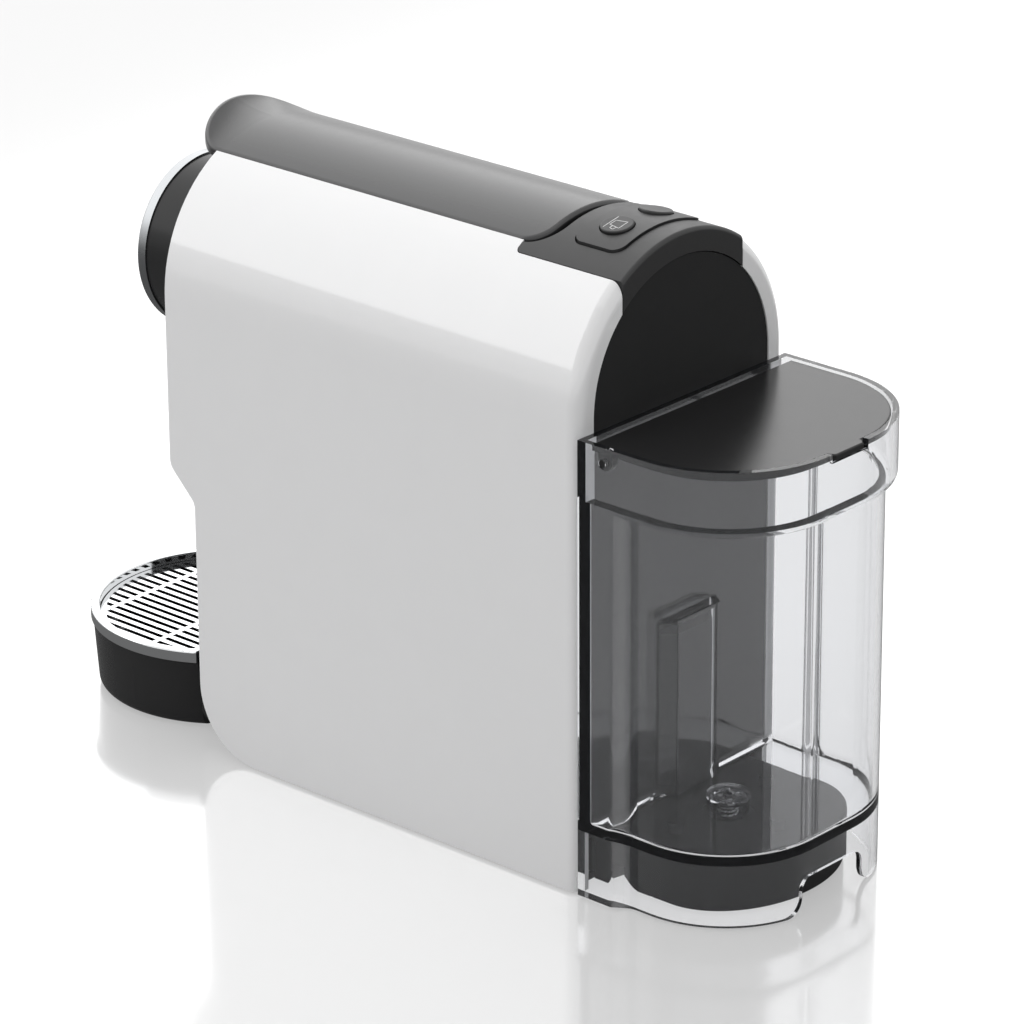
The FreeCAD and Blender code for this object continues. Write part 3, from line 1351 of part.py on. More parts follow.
def lever_frame():
    """Two cheeks with the curved cam slots that drive the piston, under one rib plate."""
    thickness = value("cheek_thickness")
    margin = value("drive_pin_radius") + 5.0
    slot_half = value("drive_pin_radius") + 0.35
    hub = Part.Face(Part.Wire(Part.makeCircle(9.0, Vector(0, 0, 0))))
    spoke_points = [cam_point(0.0), cam_point(1.0)]
    body = cam_outline(margin, 0.0, 1.0)
    fan = Part.Face(Part.makePolygon([
        Vector(0, 9, 0), spoke_points[0] + Vector(-4, 4, 0), cam_point(0.2), cam_point(0.4),
        cam_point(0.6), cam_point(0.8), spoke_points[1] + Vector(4, 3, 0), Vector(9, 0, 0),
        Vector(0, 9, 0)]))
    cheeks = []
    for side in (-1, 1):
        start = side * value("cheek_inner") - (thickness if side < 0 else 0)
        solid = stand_up(body, start, thickness)
        solid = solid.fuse([stand_up(hub, start, thickness), stand_up(fan, start, thickness)])
        cheeks.append(feature_of("Cheek%d" % (side + 1), solid))
    limit = cylinder("CheekLimit", "y", "lever_inner - 0.1",
                     ("hinge_y - 90", "hinge_y + 60"), ("0", "arch_height"))
    group = common("CheekGroup", fuse("CheekPair", cheeks, refine=False), limit)
    plate = common("LeverRibPlate",
                   arch_band("LeverRibBand", "lever_inner - 0.1", "lever_inner - 2.6",
                             ("hinge_y - 78", "hinge_y - 16")),
                   box("LeverRibBox", "cheek_inner + cheek_thickness",
                       ("hinge_y - 78", "hinge_y - 16"), ("arch_height + 30", "crown_height")))
    webs = []
    for side in (-1, 1):
        inner = "%d * cheek_inner" % side
        outer = "%d * (cheek_inner + cheek_thickness)" % side
        span = (inner, outer) if side > 0 else (outer, inner)
        webs.append(box("CheekWeb%d" % (side + 1), span, ("hinge_y - 60", "hinge_y"),
                        ("hinge_height - 14", "hinge_height + 8")))
    top = common("CheekWebs", fuse("CheekWebPair", webs, refine=False), limit)
    bore = cylinder("CheekBore", "x", "hinge_pin_radius + running_gap", "cheek_inner + 9",
                    ("hinge_y", "hinge_height"))
    slots = []
    for side in (-1, 1):
        start = side * value("cheek_inner") - (thickness if side < 0 else 0)
        slots.append(feature_of("CamSlot%d" % (side + 1), stand_up(
            cam_outline(slot_half, 0.0, 1.0), start - 1, thickness + 2)))
    return node("lever_frame", cut("LeverFrame", fuse("LeverFrameSolid", [group, plate, top]),
                                   bore, *slots))


def hinge_pin():
    pin = cylinder("HingePin", "x", "hinge_pin_radius", "cheek_inner + cheek_thickness",
                   ("hinge_y", "hinge_height"))
    return node("hinge_pin", pin)


# Brewing unit


def brew_chassis():
    """Two side plates, joined over the piston by a bridge that carries the lever's ears."""
    parts = []
    along = ("front_edge + 12.3", "heater_rear - 1")
    for side in (-1, 1):
        inner = "%d * (chassis_half - chassis_wall)" % side
        outer = "%d * chassis_half" % side
        span = (inner, outer) if side > 0 else (outer, inner)
        parts.append(box("ChassisSide%d" % (side + 1), span, along,
                         ("chassis_foot", "bridge_height + bridge_thickness")))
        ear_in = "%d * ear_inner" % side
        ear_out = "%d * (ear_inner + ear_thickness)" % side
        ear_span = (ear_in, ear_out) if side > 0 else (ear_out, ear_in)
        parts.append(box("Ear%d" % (side + 1), ear_span, ("hinge_y - 8", "hinge_y + 3.4"),
                         ("bridge_height + 1", "hinge_height")))
        parts.append(cylinder("EarHub%d" % (side + 1), "x", "hub_radius", ear_span,
                              ("hinge_y", "hinge_height")))
    parts.append(box("Bridge", "ear_inner + ear_thickness", ("hinge_y - 84", "hinge_y + 3.4"),
                     ("bridge_height", "bridge_height + bridge_thickness")))
    parts.append(box("BridgeCross", "chassis_half - 0.5", ("hinge_y - 84", "hinge_y - 72"),
                     ("bridge_height", "bridge_height + bridge_thickness")))
    parts.append(box("Cradle", "5", ("hinge_y - 84", "hinge_y - 12"),
                     ("chassis_foot + 0.5", "brew_height - piston_radius - seam")))
    for i, start in enumerate(("hinge_y - 84", "hinge_y - 20")):
        parts.append(box("LowerCross%d" % i, "chassis_half - 0.5", (start, start + " + 8"),
                         ("chassis_foot", "chassis_foot + 3")))
    solid = fuse("ChassisSolid", parts)
    guide = box("GuideSlot", "chassis_half + 1",
                ("drive_pin_y - drive_pin_radius - seam",
                 "drive_pin_y + piston_stroke + drive_pin_radius + seam"),
                ("drive_pin_height - drive_pin_radius - running_gap",
                 "drive_pin_height + drive_pin_radius + running_gap"))
    bore = cylinder("EarBore", "x", "hinge_pin_radius + 0.02", "ear_inner + ear_thickness + 1",
                    ("hinge_y", "hinge_height"))
    lever_room = box("ChassisLeverRoom", "chassis_half + 1", ("hinge_y + 3.6", "lever_rear + 5"),
                     ("bridge_height - 4", "crown_height"))
    holes = [cylinder("ChassisHole%d" % i, "x", "screw_radius + 0.2", "chassis_half + 1", centre)
             for i, centre in enumerate(chassis_places())]
    return node("brew_chassis", cut("BrewChassis", solid, guide, bore, lever_room, *holes))


def brew_head():
    """The fixed front half of the brewing unit; the coffee leaves through its lower port."""
    block = box("HeadBlock", "chassis_half - chassis_wall - 0.2",
                ("front_edge + 10", "plate_face - plate_thick - 0.1"),
                ("chassis_foot - 3", "bridge_height"))
    lugs = box("HeadLugs", "chassis_half", ("front_edge + 10", "front_edge + 12"),
               ("chassis_foot + 2", "bridge_height - 2"))
    recess = cylinder("HeadRecess", "y", "capsule_radius - 3",
                      ("plate_face - plate_thick - 2.2", "plate_face"), ("0", "brew_height"))
    channel = box("HeadChannel", "3", ("plate_face - plate_thick - 2.2", "plate_face"),
                  ("brew_height - 25", "brew_height"))
    port = cylinder("HeadPort", "y", "spout_radius - 2", ("front_edge + 8", "plate_face"),
                    ("0", "brew_height - 22"))
    return node("brew_head", cut("BrewHead", fuse("HeadSolid", [block, lugs]), recess, channel,
                                 port))


def extraction_plate():
    """The thin steel disc that tears the capsule's foil: raised studs and outlet holes."""
    disc = cylinder("PlateDisc", "y", "capsule_radius + 0.6",
                    ("plate_face - plate_thick", "plate_face - 0.6"), ("0", "brew_height"))
    studs = []
    holes = []
    for i in range(6):
        turn = math.radians(60 * i + 30)
        across = "%.4f" % (11 * math.cos(turn))
        upward = "brew_height + %.4f" % (11 * math.sin(turn))
        studs.append(box("Stud%d" % i, ("%s - 1.5" % across, "%s + 1.5" % across),
                         ("plate_face - 1", "plate_face"),
                         ("%s - 1.5" % upward, "%s + 1.5" % upward)))
        holes.append(cylinder("PlateHole%d" % i, "y", "0.8",
                              ("plate_face - plate_thick - 1", "plate_face + 1"),
                              ("%.4f" % (5.5 * math.cos(turn)),
                               "brew_height + %.4f" % (5.5 * math.sin(turn)))))
    return node("extraction_plate", cut("ExtractionPlate", fuse("PlateSolid", [disc] + studs),
                                        *holes))


def piston():
    """The moving half: a cup that takes the capsule, and a stem bored for the water tube."""
    centre = ("0", "brew_height")
    body = cylinder("PistonBody", "y", "piston_radius", ("piston_front", "piston_rear"), centre)
    yoke = box("PistonYoke", "10", ("drive_pin_y - 5", "piston_rear"),
               ("brew_height + 12", "drive_pin_height + drive_pin_radius + 0.4"))
    cup = cone("PistonCup", "y", "capsule_radius - 2", "capsule_radius - 4.6",
               ("piston_front", "piston_front + capsule_depth"), centre)
    lip = cylinder("PistonLip", "y", "capsule_radius + 0.4", ("piston_front - 1",
                                                              "piston_front + 1.6"), centre)
    bore = cylinder("PistonBore", "y", "inlet_tube_radius + running_gap",
                    ("piston_front + capsule_depth + 6", "piston_rear + 1"), centre)
    jet = cylinder("PistonJet", "y", "1.2", ("piston_front + capsule_depth - 1",
                                             "piston_front + capsule_depth + 7"), centre)
    pin_hole = cylinder("PistonPinHole", "x", "drive_pin_radius + 0.02", "piston_radius + 1",
                        ("drive_pin_y", "drive_pin_height"))
    groove = tube("PistonGroove", "y", "piston_radius + 1", "piston_radius - 1.6",
                  ("piston_front + 4", "piston_front + 6"), centre)
    solid = fuse("PistonSolid", [body, yoke])
    return node("piston", cut("Piston", solid, cup, lip, bore, jet, pin_hole, groove))


def piston_seal():
    ring = tube("PistonSeal", "y", "piston_radius + 0.1", "piston_radius - 1.5",
                ("piston_front + 4.1", "piston_front + 5.9"), ("0", "brew_height"))
    return node("piston_seal", ring)


def needle_plate():
    """The small plate in the cup's bottom whose three points pierce the capsule."""
    floor = "piston_front + capsule_depth"
    disc = cylinder("NeedleDisc", "y", "capsule_radius - 5.6", (floor + " - 1.6", floor + " - 0.1"),
                    ("0", "brew_height"))
    parts = [disc]
    for i in range(3):
        turn = math.radians(120 * i + 90)
        centre = ("%.4f" % (5 * math.cos(turn)), "brew_height + %.4f" % (5 * math.sin(turn)))
        parts.append(cone("Needle%d" % i, "y", "0.2", "1.1", (floor + " - 7", floor + " - 1.5"),
                          centre))
    hole = cylinder("NeedleJet", "y", "1.2", (floor + " - 3", floor + " + 1"),
                    ("0", "brew_height"))
    return node("needle_plate", cut("NeedlePlate", fuse("NeedleSolid", parts), hole))


def drive_pin():
    pin = cylinder("DrivePin", "x", "drive_pin_radius", "chassis_half - 0.4",
                   ("drive_pin_y", "drive_pin_height"))
    return node("drive_pin", pin)


def brew_deck():
    """The arched cover under the lever, with the slot that the capsule is dropped into."""
    along = ("front_edge + 7.2", "hinge_y - 30")
    band = arch_band("DeckBand", "deck_radius", "deck_radius - deck_thickness", along)
    top = common("DeckTop", band, box("DeckPlan", "chassis_half + 2", along,
                                      ("arch_height + 20", "crown_height")))
    feet = []
    for side in (-1, 1):
        inner = "%d * (chassis_half - chassis_wall)" % side
        outer = "%d * chassis_half" % side
        span = (inner, outer) if side > 0 else (outer, inner)
        feet.append(box("DeckFoot%d" % (side + 1), span, ("front_edge + 14", "hinge_y - 66"),
                        ("bridge_height + bridge_thickness + 0.1",
                         "arch_height + sqrt(deck_radius ^ 2 - chassis_half ^ 2) - 0.6")))
    slot = box("CapsuleSlot", "capsule_radius + 1.2", ("plate_face + 0.2", "plate_face + 33"),
               ("arch_height", "crown_height"))
    cheek_slots = []
    for side in (-1, 1):
        inner = "%d * (cheek_inner - 0.8)" % side
        outer = "%d * (cheek_inner + cheek_thickness + 0.8)" % side
        span = (inner, outer) if side > 0 else (outer, inner)
        cheek_slots.append(box("CheekSlot%d" % (side + 1), span, ("hinge_y - 68", "hinge_y"),
                               ("arch_height", "crown_height")))
    return node("brew_deck", cut("BrewDeck", fuse("DeckSolid", [top] + feet), slot, *cheek_slots))


def capsule_chute():
    """The short square funnel between the brewing unit and the capsule drawer."""
    along = ("plate_face + 0.2", "plate_face + 35")
    outer = box("ChuteOuter", "capsule_radius + 3.2", along,
                ("drawer_top + 12", "chassis_foot - 3.2"))
    inner = box("ChuteInner", "capsule_radius + 1.6", ("plate_face + 1.8", "plate_face + 33.4"),
                ("drawer_top + 11", "chassis_foot"))
    flange = box("ChuteFlange", "chassis_half", along, ("chassis_foot - 3.2", "chassis_foot - 0.1"))
    hole = box("ChuteFlangeHole", "capsule_radius + 1.6",
               ("plate_face + 1.8", "plate_face + 33.4"), ("chassis_foot - 5", "chassis_foot + 1"))
    return node("capsule_chute", cut("CapsuleChute", fuse("ChuteSolid", [outer, flange]), inner,
                                     hole))


# Water circuit and electrics


def thermoblock():
    along = ("heater_front", "heater_rear")
    low = "brew_height - heater_height / 2"
    high = "brew_height + heater_height / 2"
    block = box("HeaterBlock", "heater_half", along, (low, high))
    fins = [box("HeaterFin%d" % i, "heater_half + 1",
                ("heater_front + %d" % (6 + 8 * i), "heater_front + %d" % (9 + 8 * i)),
                (low + " + 3", high + " - 3")) for i in range(4)]
    lugs = []
    for side in (-1, 1):
        inner = "%d * (heater_half - 1)" % side
        outer = "%d * (chassis_half - chassis_wall - 0.2)" % side
        span = (inner, outer) if side > 0 else (outer, inner)
        lugs.append(box("HeaterLug%d" % (side + 1), span, ("back_plane - 33", "back_plane - 25"),
                        (low + " + 2", low + " + 12")))
    outlet = cylinder("HeaterOutlet", "y", "inlet_tube_radius + 2",
                      ("heater_front - 3", "heater_front + 1"), ("0", "brew_height"))
    bore = cylinder("HeaterBore", "y", "inlet_tube_radius + 0.02",
                    ("heater_front - 4", "heater_front + 12"), ("0", "brew_height"))
    return node("thermoblock", cut("Thermoblock",
                                   fuse("HeaterSolid", [block, outlet] + fins + lugs), bore))


def inlet_tube():
    """The steel tube that brings hot water in; the piston slides along it."""
    rod = tube("InletTube", "y", "inlet_tube_radius", "inlet_tube_radius - 1",
               ("piston_front + piston_stroke + capsule_depth + 7", "heater_front + 10"),
               ("0", "brew_height"))
    return node("inlet_tube", rod)


def mount_places():
    return ["pump_middle - pump_mount_step", "pump_middle + pump_mount_step"]


def pump():
    """The vibration pump: a square coil between two noses."""
    centre = ("0", "pump_height")
    coil = rounded("PumpCoil",
                   box("PumpCoilBox", "pump_half",
                       ("pump_middle - pump_coil_half", "pump_middle + pump_coil_half"),
                       ("pump_height - pump_half", "pump_height + pump_half")), 2.0,
                   lambda edge: edge.BoundBox.YLength > value("pump_coil_half"))
    nose = cylinder("PumpNose", "y", "pump_nose_radius", ("pump_middle - 27", "pump_middle + 27"),
                    centre)
    ports = cylinder("PumpPorts", "y", "hose_radius - 1", ("pump_front", "pump_rear"), centre)
    return node("pump", fuse("Pump", [coil, nose, ports]))


def pump_mounts():
    rings = [tube("PumpMount%d" % i, "y", "mount_radius", "pump_nose_radius + 0.1",
                  ("%s - 3" % where, "%s + 3" % where), ("0", "pump_height"))
             for i, where in enumerate(mount_places())]
    return node("pump_mounts", fuse("PumpMounts", rings, refine=False))


def flow_meter():
    centre = ("-meter_offset", "meter_y")
    body = cylinder("MeterBody", "z", "meter_radius", ("base_top + 0.1", "base_top + meter_height"),
                    centre)
    cap = cylinder("MeterCap", "z", "meter_radius - 2",
                   ("base_top + meter_height - 1", "base_top + meter_height + 3"), centre)
    port = cylinder("MeterOut", "z", "hose_radius - 1",
                    ("base_top + meter_height", "base_top + meter_height + 8"), centre)
    side = cylinder("MeterIn", "x", "hose_radius - 1", ("8 - meter_offset", "18 - meter_offset"),
                    ("meter_y", "water_port"))
    return node("flow_meter", fuse("FlowMeter", [body, cap, port, side]))


def hose_path(points, bend):
    """Straight runs joined by tangent arcs of one radius, as a wire."""
    edges = []
    start = points[0]
    for before, corner, after in zip(points, points[1:], points[2:]):
        into = (corner - before).normalize()
        out = (after - corner).normalize()
        half_turn = into.getAngle(out) / 2
        reach = bend * math.tan(half_turn)
        first = corner - into * reach
        last = corner + out * reach
        towards = (out - into).normalize()
        middle = corner + towards * (bend / math.cos(half_turn) - bend)
        edges.append(Part.LineSegment(start, first).toShape())
        edges.append(Part.Arc(first, middle, last).toShape())
        start = last
    edges.append(Part.LineSegment(start, points[-1]).toShape())
    return Part.Wire(edges)


def hose(label, points):
    """A rubber hose along its route, bored for the water."""
    radius = value("hose_radius")
    path = hose_path(points, value("hose_bend"))
    ahead = points[1] - points[0]
    skins = []
    for size in (radius, radius - 0.95):
        ring = Part.Wire(Part.makeCircle(size, points[0], ahead))
        skins.append(path.makePipeShell([ring], True, True))
    return node(label, feature_of(label.title().replace("_", ""), skins[0].cut(skins[1])))


def hoses():
    meter = value("meter_y")
    meter_x = -value("meter_offset")
    port = value("water_port")
    pump_z = value("pump_height")
    behind = value("pump_rear") + 14
    before = value("pump_front") - 14
    low_run = port + 31
    heater_foot = value("brew_height") - value("heater_height") / 2
    hose("tank_hose", [
        Vector(0, value("back_plane") - 12.2, port),
        Vector(0, meter, port),
        Vector(meter_x + 17.8, meter, port),
    ])
    hose("pump_hose", [
        Vector(meter_x, meter, value("base_top") + value("meter_height") + 3.2),
        Vector(meter_x, meter, low_run),
        Vector(meter_x, behind, low_run),
        Vector(0, behind, low_run),
        Vector(0, behind, pump_z),
        Vector(0, value("pump_rear") + 0.2, pump_z),
    ])
    hose("boiler_hose", [
        Vector(0, value("pump_front") - 0.2, pump_z),
        Vector(0, before, pump_z),
        Vector(0, before, heater_foot - 16),
        Vector(0, value("heater_front") + 10, heater_foot - 16),
        Vector(0, value("heater_front") + 10, heater_foot - 0.2),
    ])


def main_board():
    """The mains and control board on its four posts, with its relay, coil and capacitor."""
    face = "-inner_half + 4.1"
    along = ("back_plane - 96", "back_plane - 20")
    parts = [box("BoardSlab", (face, face + " + 1.6"), along, ("50", "130"))]
    blocks = [("-80", "-62", "96", "118", "14"), ("-58", "-42", "100", "122", "12"),
              ("-84", "-68", "58", "74", "10")]
    for i, (low, high, foot, top, depth) in enumerate(blocks):
        parts.append(box("BoardBlock%d" % i, (face + " + 1", "%s + %s" % (face, depth)),
                         ("back_plane " + low, "back_plane " + high), (foot, top)))
    parts.append(cylinder("BoardCapacitor", "x", "6", (face + " + 1", face + " + 15"),
                          ("back_plane - 38", "76")))
    return node("main_board", fuse("MainBoard", parts))


def cord_gland():
    """The grommet in the shell's side where the mains cord would enter."""
    centre = ("gland_y", "gland_height")
    body = cylinder("GlandBody", "x", "gland_radius", ("-half_width", "-inner_half + 4"), centre)
    flange = cylinder("GlandFlange", "x", "gland_radius + 2",
                      ("-inner_half + 0.1", "-inner_half + 2"), centre)
    hole = cylinder("CordHole", "x", "cord_hole_radius", ("-half_width - 1", "-inner_half + 5"),
                    centre)
    return node("cord_gland", cut("CordGland", fuse("GlandSolid", [body, flange]), hole))


for make in (
    outer_shell, base_plate, rubber_feet, rear_panel, front_frame, control_panel, button_bezel,
    button_board, nose_drum, nose_ring, nose_cap, coffee_spout, capsule_container, drip_cup,
    tray_ring, drip_grille, tank_body, valve_cage, valve_plunger, valve_spring, tank_lid,
    tank_dock, dock_seal, lever_cover, lever_frame, hinge_pin, brew_chassis, brew_head,
    extraction_plate, piston, piston_seal, needle_plate, drive_pin, brew_deck, capsule_chute,
    thermoblock, inlet_tube, pump, pump_mounts, flow_meter, hoses, main_board, cord_gland,
    base_screws, chassis_screws,
):
    make()
button("small_cup_button", 1)
button("large_cup_button", -1)

doc.recompute()
for item in doc.Objects:
    if "Invalid" in item.State or "Error" in item.State:
        raise RuntimeError("failed: " + item.Label)
for item in nodes:
    if item.Shape.isNull() or not item.Shape.isValid():
        raise RuntimeError("bad shape: " + item.Label)
os.makedirs("parts", exist_ok=True)
for item in nodes:
    item.Shape.exportStep("parts/%s.step" % item.Label)
    print("%-20s solids %d volume %.1f" % (item.Label, len(item.Shape.Solids), item.Shape.Volume))
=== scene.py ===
"""The looks of a slim capsule coffee machine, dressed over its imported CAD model.

All lengths are in metres, in the CAD model's own frame: +Z up, -Y towards the drip tray.
"""

import math

import bpy
from mathutils import Matrix, Vector


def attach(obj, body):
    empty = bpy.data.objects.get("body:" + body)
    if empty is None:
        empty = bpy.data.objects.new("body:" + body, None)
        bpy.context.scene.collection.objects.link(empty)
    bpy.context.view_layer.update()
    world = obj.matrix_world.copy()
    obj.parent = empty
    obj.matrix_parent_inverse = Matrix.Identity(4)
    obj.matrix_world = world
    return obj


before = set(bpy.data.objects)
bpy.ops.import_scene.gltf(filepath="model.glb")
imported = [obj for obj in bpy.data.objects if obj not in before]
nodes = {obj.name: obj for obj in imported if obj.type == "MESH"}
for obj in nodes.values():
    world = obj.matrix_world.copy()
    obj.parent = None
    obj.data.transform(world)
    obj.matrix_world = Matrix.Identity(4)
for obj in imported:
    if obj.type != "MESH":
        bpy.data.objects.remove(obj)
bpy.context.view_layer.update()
MM = 0.001
PURE_WHITE = (1, 1, 1, 1)

# The viewing angle and distance solved from the photograph, and the point it looks at.
CAMERA_AZIMUTH = 131.94
CAMERA_ELEVATION = 22.27
CAMERA_ROLL = -0.362
CAMERA_DISTANCE = 1.9613
CAMERA_LENS = 186.43
CAMERA_TARGET = Vector((0.0, 0.02395, 0.110))
# The photograph's optical centre lies this far off its middle, across and up.
CENTRE_OFFSET = (-0.00055, 0.00033)

# The strength of the even light that falls on the machine from all sides.
AMBIENT = 0.60
# In gloss the sky is grey at the horizon on one side, and white above this sine of elevation.
SKYLINE = 0.18
SKYLINE_LOSS = 0.35
SKYLINE_SIDE = (0.76, -0.65, 0.0)
SKYLINE_FULL = 0.5

# Name, power in watts, width and height in metres, place, and the point it faces.
LAMPS = [
    ("overhead_box", 3.0, (1.6, 1.6), (0.1, 0.0, 1.7), (0.0, 0.0, 0.1)),
    ("front_wall", 96.0, (8.0, 3.2), (0.0, -2.6, 2.55), (0.0, 0.0, 2.55)),
]

# The floor lies just below the feet. The camera sees it washed with white, and faintly glossy.
FLOOR_HALF = 6.0
FLOOR_DROP = 0.0002
FLOOR_WASH = 0.6
FLOOR_GLOSS = 0.3
# In gloss the floor is a painted glow standing in for the table, with painted shade near by: a
# strength near by and far away, and the distances where they hold.
GLOSS_GLOW_STRENGTH = (0.16, 0.65)
GLOSS_GLOW_REACH = (0.7, 4.5)
# Beyond the machine, seen along the camera's heading, that painted glow turns white, as painted
# light in what the gloss sees.
BEYOND_HEADING = (-0.744, -0.668, 0.0)
BEYOND_REACH = (0.25, 0.60)
BEYOND_STRENGTH = 0.95

# Noise mostly lies in this span, so it is what the ranges of gloss are spread over.
NOISE_SPAN = (0.3, 0.7)

# The near button's icon: an open cup with a handle, on a line, drawn in its top face. The lists
# hold millimetres across the machine and along it, from the middle of the button.
ARCH_AXIS = Vector((0.0, 83.45, 181.5)) * MM
BUTTON_TOP = 59.0 * MM
BUTTON_LEAN = math.radians(10.46)
STROKE = 0.3
INK_DEPTH = 0.02
INK_STEP = 0.001
ICON = [
    [(-4.2, -2.9), (4.2, -2.9)],
    [(-2.6, 2.9), (-1.7, -1.9), (1.7, -1.9), (2.6, 2.9), (-2.6, 2.9)],
    [(2.4, 1.8), (4.2, 1.4), (3.6, -0.4), (2.0, -0.3)],
]
BLOCK_FACES = ((3, 2, 1, 0), (4, 5, 6, 7), (0, 1, 5, 4), (1, 2, 6, 5), (2, 3, 7, 6), (3, 0, 4, 7))


class Nodes:
    """A short way to write a shader's node tree."""

    def __init__(self, tree):
        self.tree = tree
        tree.nodes.clear()

    def add(self, kind, **settings):
        """A node with its own settings, and its input sockets by name."""
        item = self.tree.nodes.new("ShaderNode" + kind)
        for name, setting in settings.items():
            if hasattr(item, name):
                setattr(item, name, setting)
            else:
                label = name.replace("_", " ").lower()
                socket = next(s for s in item.inputs if s.name.lower() == label and s.enabled)
                self.feed(socket, setting)
        return item

    def feed(self, socket, source):
        """Sets an input socket to a value, or links it to another node's output."""
        if isinstance(source, bpy.types.NodeSocket):
            self.tree.links.new(source, socket)
        else:
            socket.default_value = source

    def calc(self, operation, first, second, clamp=False):
        item = self.add("Math", operation=operation, use_clamp=clamp)
        self.feed(item.inputs[0], first)
        self.feed(item.inputs[1], second)
        return item.outputs[0]

    def dot(self, vector, direction):
        item = self.add("VectorMath", operation="DOT_PRODUCT")
        self.feed(item.inputs[0], vector)
        self.feed(item.inputs[1], direction)
        return item.outputs[1]

    def length(self, vector):
        item = self.add("VectorMath", operation="LENGTH")
        self.feed(item.inputs[0], vector)
        return item.outputs[1]

    def spread(self, source, span, ends):
        """Maps a span of values onto another, and holds it at both ends."""
        return self.add("MapRange", Value=source, From_Min=span[0], From_Max=span[1],
                        To_Min=ends[0], To_Max=ends[1]).outputs[0]

    def noise(self, place, scale, detail, rough):
        return self.add("TexNoise", Vector=place, Scale=scale, Detail=detail,
                        Roughness=rough).outputs[0]

    def blend_colours(self, share, first, second):
        item = self.add("Mix", data_type="RGBA")
        self.feed(item.inputs[0], share)
        self.feed(item.inputs[6], (*first, 1))
        self.feed(item.inputs[7], (*second, 1))
        return item.outputs[2]

    def blend_shaders(self, share, first, second):
        item = self.add("MixShader")
        for socket, source in zip(item.inputs, (share, first, second)):
            self.feed(socket, source)
        return item.outputs[0]

    def rays(self):
        """Camera rays, all direct looks, and looks in gloss, each as 0 or 1.

        Cycles counts what the clear tank refracts as glossy too, so that is taken off again.
        """
        path = self.add("LightPath").outputs
        through = path["Is Transmission Ray"]
        direct = self.calc("MAXIMUM", path["Is Camera Ray"], through)
        mirrored = self.calc("SUBTRACT", path["Is Glossy Ray"], through, clamp=True)
        return path["Is Camera Ray"], direct, mirrored

    def finish(self, kind, surface, volume=None):
        item = self.add(kind)
        self.tree.links.new(surface, item.inputs["Surface"])
        if volume:
            self.tree.links.new(volume, item.inputs["Volume"])


def new_object(name, data):
    item = bpy.data.objects.new(name, data)
    bpy.context.scene.collection.objects.link(item)
    return item


def new_material(name):
    material = bpy.data.materials.new(name)
    material.use_nodes = True
    return material, Nodes(material.node_tree)


# Camera and stage


def add_camera():
    azimuth = math.radians(CAMERA_AZIMUTH)
    elevation = math.radians(CAMERA_ELEVATION)
    back = Vector((math.sin(azimuth) * math.cos(elevation),
                   -math.cos(azimuth) * math.cos(elevation), math.sin(elevation)))
    right = Vector((math.cos(azimuth), math.sin(azimuth), 0))
    up = back.cross(right)
    turned = Matrix.Rotation(math.radians(CAMERA_ROLL), 3, back)
    right, up = turned @ right, turned @ up
    data = bpy.data.cameras.new("photo_camera")
    data.lens = CAMERA_LENS
    data.sensor_width = 36
    data.clip_start = 0.05
    data.clip_end = 50
    camera = new_object("photo_camera", data)
    middle = CAMERA_TARGET + right * CENTRE_OFFSET[0] + up * CENTRE_OFFSET[1]
    turn = Matrix((right, up, back)).transposed().to_4x4()
    camera.matrix_world = Matrix.Translation(middle + back * CAMERA_DISTANCE) @ turn
    bpy.context.scene.camera = camera


def add_world():
    """White to the camera, an even dim light, and in gloss a sky that greys low on one side."""
    world = bpy.data.worlds.new("studio")
    bpy.context.scene.world = world
    world.use_nodes = True
    n = Nodes(world.node_tree)
    _, direct, mirrored = n.rays()
    heading = n.add("TexCoord").outputs["Generated"]
    height = n.add("SeparateXYZ", Vector=heading).outputs[2]
    low = n.spread(height, (0.0, SKYLINE), (SKYLINE_LOSS, 0.0))
    facing = n.spread(n.dot(heading, SKYLINE_SIDE), (0.0, SKYLINE_FULL), (0.0, 1.0))
    left = n.calc("SUBTRACT", 1.0, n.calc("MULTIPLY", low, facing))
    lights = [n.add("Background", Color=PURE_WHITE, Strength=strength).outputs[0]
              for strength in (AMBIENT, 1.0, left)]
    plain = n.blend_shaders(direct, lights[0], lights[1])
    n.finish("OutputWorld", n.blend_shaders(mirrored, plain, lights[2]))


def add_lamps():
    for name, power, size, place, target in LAMPS:
        data = bpy.data.lights.new(name, "AREA")
        data.shape = "RECTANGLE"
        data.size, data.size_y = size
        data.energy = power
        lamp = new_object(name, data)
        lamp.location = place
        lamp.visible_camera = False
        lamp.visible_transmission = False
        aim = Vector(target) - Vector(place)
        lamp.rotation_mode = "QUATERNION"
        lamp.rotation_quaternion = aim.to_track_quat("-Z", "Y")


def floor_material():
    material, n = new_material("studio_floor")
    lit = n.add("BsdfDiffuse", Color=(0.86, 0.86, 0.86, 1)).outputs[0]
    white = n.add("Emission", Color=PURE_WHITE, Strength=1.0).outputs[0]
    mirror = n.add("BsdfGlossy", Color=PURE_WHITE, Roughness=0.12).outputs[0]
    camera, direct, mirrored = n.rays()
    washed = n.blend_shaders(n.calc("MULTIPLY", direct, FLOOR_WASH), lit, white)
    glossy = n.blend_shaders(n.calc("MULTIPLY", camera, FLOOR_GLOSS), washed, mirror)
    place = n.add("TexCoord").outputs["Object"]
    away = n.spread(n.length(place), GLOSS_GLOW_REACH, GLOSS_GLOW_STRENGTH)
    beyond = n.spread(n.dot(place, BEYOND_HEADING), BEYOND_REACH, (0.0, BEYOND_STRENGTH))
    shade = n.calc("MAXIMUM", away, beyond)
    # Seen in gloss the floor is not lit but glows: painted shade near the machine, painted light
    # far off and beyond it.
    painted_glow = n.add("Emission", Color=PURE_WHITE, Strength=shade).outputs[0]
    n.finish("OutputMaterial", n.blend_shaders(mirrored, glossy, painted_glow))
    return material


